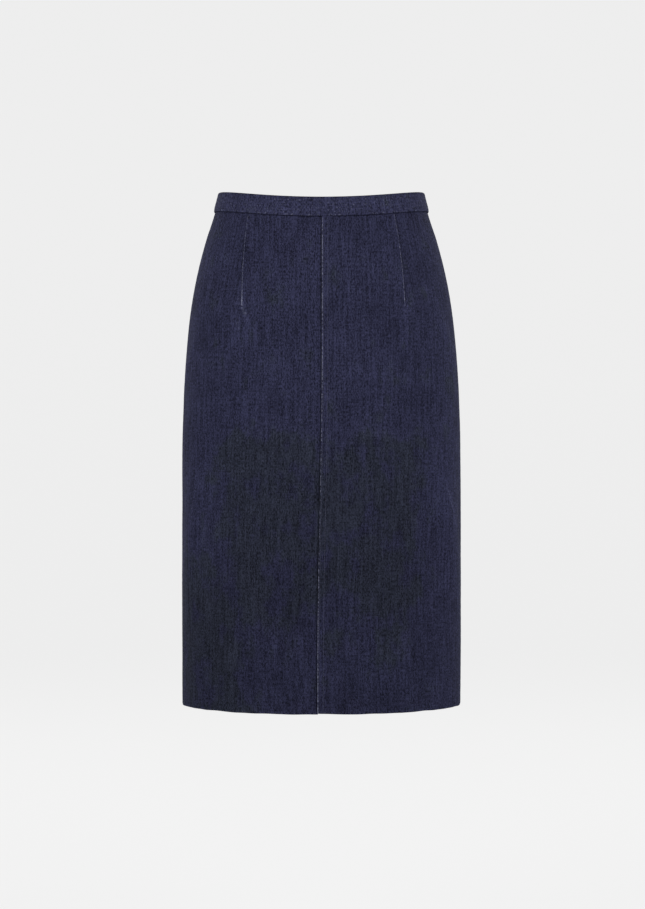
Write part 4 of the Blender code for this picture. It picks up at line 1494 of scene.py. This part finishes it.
def band_piece(name, columns):
    """A piece of the waistband. Each column has an angle, a distance along and how far the band's
    two layers are pinched together there."""
    profile = band_profile()
    rise, out = (item[None, :] for item in fields(profile))
    base, along, pinch = (item[:, None] for item in fields(columns))
    shape = (len(columns), len(profile))
    out = between(out, PINCHED, pinch)
    inner = (np.arange(len(profile)) < len(FACING_ROWS))[None, :]
    facing = base + along / length_per_degree(base, WAIST_TOP - BAND_HEIGHT)
    out = out - bulk_under_facing(facing) * (1 - ease(rise, *BULK_HEIGHTS)) * inner
    angle = np.broadcast_to(base + along / length_per_degree(base, WAIST_TOP - BAND_HEIGHT / 2), shape)
    height = seam_height(angle) + rise
    broad = ripple(angle, BROAD_WAVE, 2.0) * bump((rise - BROAD_LEVEL) / BROAD_REACH)
    wave = broad + FINE_SHARE * ripple(angle + rise, FINE_WAVE, 4.0)
    out = out + bpy.context.scene.skirt_form.pucker_depth / MM * wave
    places = on_tube(angle, height, out)
    across = run_lengths(places)[:, [shape[1] // 2]]
    around = run_lengths(np.stack([rise[0], out.mean(0)], -1)[:, None])[:, 0] * MM
    cut = np.stack([np.broadcast_to(across, shape), np.broadcast_to(around, shape)], -1)
    # Painted shade along the fold, a painted highlight over the face, and wear with a painted highlight at
    # the lower edge.
    fold_shade = BAND_FOLD_SHADE * np.exp(-(((rise - BAND_HEIGHT) / BAND_FOLD_BREADTH) ** 2))
    edge_wear_and_highlight = BAND_EDGE_WEAR_AND_HIGHLIGHT * np.exp(-(((rise - BAND_FACE_ROWS[-1]) / BAND_EDGE_BREADTH) ** 2))
    wear = np.broadcast_to(BAND_PAINTED_HIGHLIGHT - fold_shade + edge_wear_and_highlight, shape)
    return cloth_object(name, places, cut, wear, folded_denim_set())


def band_end(angle, edge, side, closed):
    """Columns from inside a band's end to the end itself, pinched by up to closed."""
    return [(angle, side * (edge + distance), closed * share) for distance, share in BAND_END_COLUMNS]


class SKIRT_OT_waistband(bpy.types.Operator):
    """Folds the waistband's three pieces over and sets them on the waist seam"""

    bl_idname = "skirt.waistband"
    bl_label = "Waistband"

    def execute(self, context):
        front_field = [(angle, 0.0, 0.0) for angle in np.arange(*BAND_FRONT_FIELD, FIELD_STEP)]
        front_ends = band_end(-90, SEAM_GAP, 1, SIDE_PINCH)[::-1], band_end(90, SEAM_GAP, -1, SIDE_PINCH)
        front = front_ends[0] + front_field + front_ends[1]
        back_field = [(angle, 0.0, 0.0) for angle in np.arange(*BAND_BACK_FIELD, FIELD_STEP)]
        back_ends = band_end(90, SEAM_GAP, 1, SIDE_PINCH)[::-1], band_end(180, ZIP_END, -1, ZIP_PINCH)
        left = back_ends[0] + back_field + back_ends[1]
        right = [(-angle, -along, pinch) for angle, along, pinch in left]
        pieces = (("waistband_front", front), ("waistband_back_left", left), ("waistband_back_right", right))
        for node, columns in pieces:
            fasten(band_piece(f"{node}_cloth", columns), SKIRT_BODY, [node])
        return {"FINISHED"}


class SKIRT_OT_lap_stitching(bpy.types.Operator):
    """Sews two tonal rows down the centre-front lap"""

    bl_idname = "skirt.lap_stitching"
    bl_label = "Lap stitching"

    def execute(self, context):
        top, low = float(seam_height(0.0)) - LAP_ROW_DROP, HEM_LEVEL + LAP_ROW_LIFT
        runs = [stitch for row in LAP_ROWS for stitch in lap_stitches(row, top, low)]
        width = context.scene.skirt_sewing.thread_width / MM
        fasten(thread_object("front_lap_stitching", runs, width, sewing_thread()), SKIRT_BODY)
        return {"FINISHED"}


class SKIRT_OT_overlocking(bpy.types.Operator):
    """Winds thread over the raw edges of the seam allowances and the hem"""

    bl_idname = "skirt.overlocking"
    bl_label = "Overlocking"

    def execute(self, context):
        width = context.scene.skirt_sewing.thread_width / MM * OVERLOCK_FINER
        low = HEM_LEVEL + HEM_DEPTH - OVERLOCK_OVERLAP
        edges = {
            f"{name}_overlocking": [
                overlocked_edge(seam, side * ALLOWANCE_WIDTH, -side, ALLOWANCE, low) for side in (-1, 1)
            ]
            for name, seam in (("side_left", 90), ("side_right", -90), ("centre_back", 180))
        }
        edges["front_lap_overlocking"] = [overlocked_edge(0.0, LAP_RAW_EDGE, -1, UNDERLAP, low)]
        degree = float(length_per_degree(45.0, HEM_LEVEL))
        edges["hem_overlocking"] = [overlock_run(above_turn_up, -180.0, 180.0, OVERLOCK_PITCH / degree)]
        for name, runs in edges.items():
            fasten(thread_object(name, runs, width, overlock_thread()), SKIRT_BODY)
        return {"FINISHED"}


# Across a tape from its free edge, round its folded edge and back: how far from the centre back, and
# how far out from the tape's level.
TAPE_PATH = (
    (TAPE_WIDTH, 0.0), (TAPE_WIDTH - 0.6, 0.03), (9.0, 0.0), (6.0, 0.0), (3.6, 0.0), (2.2, 0.0),
    (1.3, 0.03), (0.75, -0.05), (0.45, -0.3), (0.42, -0.62), (0.7, -0.9), (1.4, -1.0), (2.4, -1.0),
)
TAPE_ROWS = 62
# Where the tape passes over the band's facing it lies this much further in, round this level above
# the waist seam.
OVER_FACING, OVER_FACING_LEVEL, OVER_FACING_REACH = 0.5, 1.0, 13.0


class SKIRT_OT_zip_tapes(bpy.types.Operator):
    """Hangs the zip's two woven tapes inside the centre back"""

    bl_idname = "skirt.zip_tapes"
    bl_label = "Zip tapes"

    def execute(self, context):
        distance, step = (item[:, None] for item in fields(TAPE_PATH))
        heights = np.linspace(ZIP_TOP, ZIP_LOW, TAPE_ROWS)
        height = np.broadcast_to(heights, (len(TAPE_PATH), TAPE_ROWS))
        above_facing = heights - seam_height(180.0) - OVER_FACING_LEVEL
        over_facing = OVER_FACING * bump(above_facing / OVER_FACING_REACH)
        for name, side in (("left", -1), ("right", 1)):
            places = on_cloth(180.0, side * distance, height, TAPE_MIDDLE + step - over_facing)
            tape = plain_sheet(f"zip_tape_{name}_cloth", places, height, [zip_tape()] * 3, TAPE_CLOTH)
            fasten(tape, SKIRT_BODY, [f"zip_tape_{name}"])
        return {"FINISHED"}


# Each coil winds round a line this far to one side, half a turn out of step with the other. Its
# turns swing this far across and deep.
COIL_ASIDE = 1.0
COIL_ACROSS = 1.15
COIL_DEEP = 0.42
COIL_WIRE = 0.52
TURN_STEPS = 10


class SKIRT_OT_zip_coil(bpy.types.Operator):
    """Winds the zip's two coils, closed below the slider"""

    bl_idname = "skirt.zip_coil"
    bl_label = "Zip coil"

    def execute(self, context):
        pitch = context.scene.skirt_zip.coil_pitch / MM
        count = int((COIL_TOP - COIL_LOW) / pitch)
        turn = np.arange(count * TURN_STEPS) / TURN_STEPS
        runs = []
        for side, shift in ((1, 0.0), (-1, 0.5)):
            swing = 2 * math.pi * (turn + shift)
            along = side * (COIL_ASIDE + COIL_ACROSS * np.cos(swing))
            depth = COIL_MIDDLE + COIL_DEEP * np.sin(swing)
            runs.append(on_cloth(180.0, along, COIL_TOP - turn * pitch, depth))
        coil = thread_object("zip_coil_turns", runs, COIL_WIRE, coil_nylon())
        fasten(coil, SKIRT_BODY, ["zip_coil"])
        return {"FINISHED"}


WELD_GAP = 0.000005
ROUNDING = 0.00014
ROUNDED_ANGLE = math.radians(50)


class SKIRT_OT_zip_hardware(bpy.types.Operator):
    """Paints the slider and its pull tab, and rounds their edges"""

    bl_idname = "skirt.zip_hardware"
    bl_label = "Zip slider and pull"

    def execute(self, context):
        for node in ("zip_slider", "zip_pull"):
            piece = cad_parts[node]
            piece.data.materials.clear()
            piece.data.materials.append(zip_enamel())
            weld = piece.modifiers.new("join", "WELD")
            weld.merge_threshold = WELD_GAP
            rounding = piece.modifiers.new("rounding", "BEVEL")
            rounding.width = ROUNDING
            rounding.segments = 2
            rounding.limit_method = "ANGLE"
            rounding.angle_limit = ROUNDED_ANGLE
        return {"FINISHED"}


# ------------------------------------------------------------------ stage
Lamp = namedtuple("Lamp", "name place share")
LAMPS = (
    Lamp("key_left", (-1.7, -2.2, 1.5), 1.0),
    Lamp("key_right", (1.7, -2.2, 1.5), 1.0),
    Lamp("back_left", (-1.9, 2.3, 1.5), 0.75),
    Lamp("back_right", (1.9, 2.3, 1.5), 0.75),
)
LAMP_SIZE = 1.5
LAMP_AIM = (0.0, 0.0, -0.33)
CAMERA_PLACE = (0.00144, -2.75, -0.3289)
LENS = 83.07
SENSOR = 36.0
# The floor in metres: its level, how far out it is flat, how it sweeps up and its wall above that.
FLOOR_LEVEL = -1.05
FLOOR_REACH = 5.0
FLOOR_SWEEP = 2.0
FLOOR_WALL = 3.0
SWEEP_STEPS = 12
FLOOR_SIDES = 96


def make_paper():
    """A round floor that sweeps up into a low wall all round."""
    outline = [(0.0, FLOOR_LEVEL), (FLOOR_REACH, FLOOR_LEVEL)]
    for step in range(1, SWEEP_STEPS + 1):
        turn = math.pi / 2 * step / SWEEP_STEPS
        rise = FLOOR_SWEEP * (1 - math.cos(turn))
        outline.append((FLOOR_REACH + FLOOR_SWEEP * math.sin(turn), FLOOR_LEVEL + rise))
    outline.append((FLOOR_REACH + FLOOR_SWEEP, FLOOR_LEVEL + FLOOR_SWEEP + FLOOR_WALL))
    shape = bmesh.new()
    verts = [shape.verts.new((across, 0.0, height)) for across, height in outline]
    edges = [shape.edges.new(pair) for pair in zip(verts, verts[1:])]
    bmesh.ops.spin(
        shape, geom=verts + edges, axis=(0, 0, 1), cent=(0, 0, 0), angle=2 * math.pi, steps=FLOOR_SIDES,
        use_merge=True,
    )
    bmesh.ops.remove_doubles(shape, verts=shape.verts, dist=0.0001)
    bmesh.ops.recalc_face_normals(shape, faces=shape.faces)
    finished_mesh("studio_floor", shape, [studio_paper()])


def light_studio():
    """Even light from all round, and four soft boxes turned towards the skirt."""
    stage = bpy.context.scene.skirt_stage
    world = bpy.data.worlds.new("studio")
    world.use_nodes = True
    background = world.node_tree.nodes["Background"]
    background.inputs["Color"].default_value = WHITE
    background.inputs["Strength"].default_value = stage.sky
    bpy.context.scene.world = world
    for lamp in LAMPS:
        light = bpy.data.lights.new(lamp.name, "AREA")
        light.energy = stage.key * lamp.share
        light.size = LAMP_SIZE
        box = placed(lamp.name, light)
        box.location = lamp.place
        across, away, rise = np.array(LAMP_AIM) - np.array(lamp.place)
        box.rotation_euler = (math.atan2(math.hypot(across, away), -rise), 0.0, math.atan2(-across, away))


class SKIRT_OT_stage(bpy.types.Operator):
    """Sets up the pale seamless floor, the soft lights and the camera"""

    bl_idname = "skirt.stage"
    bl_label = "Stage"

    def execute(self, context):
        context.scene.view_settings.view_transform = "Standard"
        make_paper()
        light_studio()
        lens = bpy.data.cameras.new("view")
        lens.sensor_width = SENSOR
        lens.lens = LENS
        camera = placed("view", lens)
        camera.location = CAMERA_PLACE
        camera.rotation_euler = (math.pi / 2, 0.0, 0.0)
        context.scene.camera = camera
        return {"FINISHED"}


OPERATORS = (
    SKIRT_OT_front_panels,
    SKIRT_OT_back_panels,
    SKIRT_OT_dart_tucks,
    SKIRT_OT_waistband,
    SKIRT_OT_lap_stitching,
    SKIRT_OT_overlocking,
    SKIRT_OT_zip_tapes,
    SKIRT_OT_zip_coil,
    SKIRT_OT_zip_hardware,
    SKIRT_OT_stage,
)


class SKIRT_PT_sidebar(bpy.types.Panel):
    """Lists the skirt's pieces and their settings"""

    bl_idname = "SKIRT_PT_sidebar"
    bl_label = "Denim skirt"
    bl_space_type = "VIEW_3D"
    bl_region_type = "UI"
    bl_category = "Skirt"

    def draw(self, context):
        for operator in OPERATORS:
            self.layout.operator(operator.bl_idname)
        for name, group in SETTINGS:
            box = self.layout.box()
            for setting in group.__annotations__:
                box.prop(getattr(context.scene, name), setting)


def register():
    for name, group in SETTINGS:
        bpy.utils.register_class(group)
        setattr(bpy.types.Scene, name, bpy.props.PointerProperty(type=group))
    for item in (*OPERATORS, SKIRT_PT_sidebar):
        bpy.utils.register_class(item)


def unregister():
    for item in reversed((*OPERATORS, SKIRT_PT_sidebar)):
        bpy.utils.unregister_class(item)
    for name, group in reversed(SETTINGS):
        delattr(bpy.types.Scene, name)
        bpy.utils.unregister_class(group)


Cut = namedtuple("Cut", "piece width length held rests_on with_pieces", defaults=((), ()))
CUTS = (
    Cut("front_left_cloth", 0.269, 0.681, "hung", ["waistband_front_cloth"],
        ["front_left_dart_tuck", "front_lap_stitching"]),
    Cut("front_right_cloth", 0.263, 0.679, "hung", ["waistband_front_cloth"],
        ["front_right_dart_tuck", "front_lap_overlocking"]),
    Cut("back_left_cloth", 0.278, 0.679, "hung", ["waistband_back_left_cloth"], ["back_left_dart_tuck"]),
    Cut("back_right_cloth", 0.278, 0.679, "hung", ["waistband_back_right_cloth"], ["back_right_dart_tuck"]),
    Cut("waistband_front_cloth", 0.363, 0.059, "folded"),
    Cut("waistband_back_left_cloth", 0.184, 0.059, "folded"),
    Cut("waistband_back_right_cloth", 0.184, 0.059, "folded"),
    Cut("zip_tape_left_cloth", 0.0144, 0.185, "hung", ["waistband_back_left_cloth"]),
    Cut("zip_tape_right_cloth", 0.0144, 0.185, "hung", ["waistband_back_right_cloth"]),
)


def declare_sheets():
    """Goes through each piece of cloth's cut and gathers what it rests on and the pieces that go with it, but
    states nothing.
    """
    for cut in CUTS:
        more = {"rests_on": cut.rests_on} if cut.rests_on else {}
        if cut.with_pieces:
            more["with_pieces"] = cut.with_pieces


def main():
    """Makes the skirt and its stage."""
    register()
    for operator in OPERATORS:
        group, name = operator.bl_idname.split(".")
        getattr(getattr(bpy.ops, group), name)()
    declare_sheets()


if __name__ == "__main__":
    main()
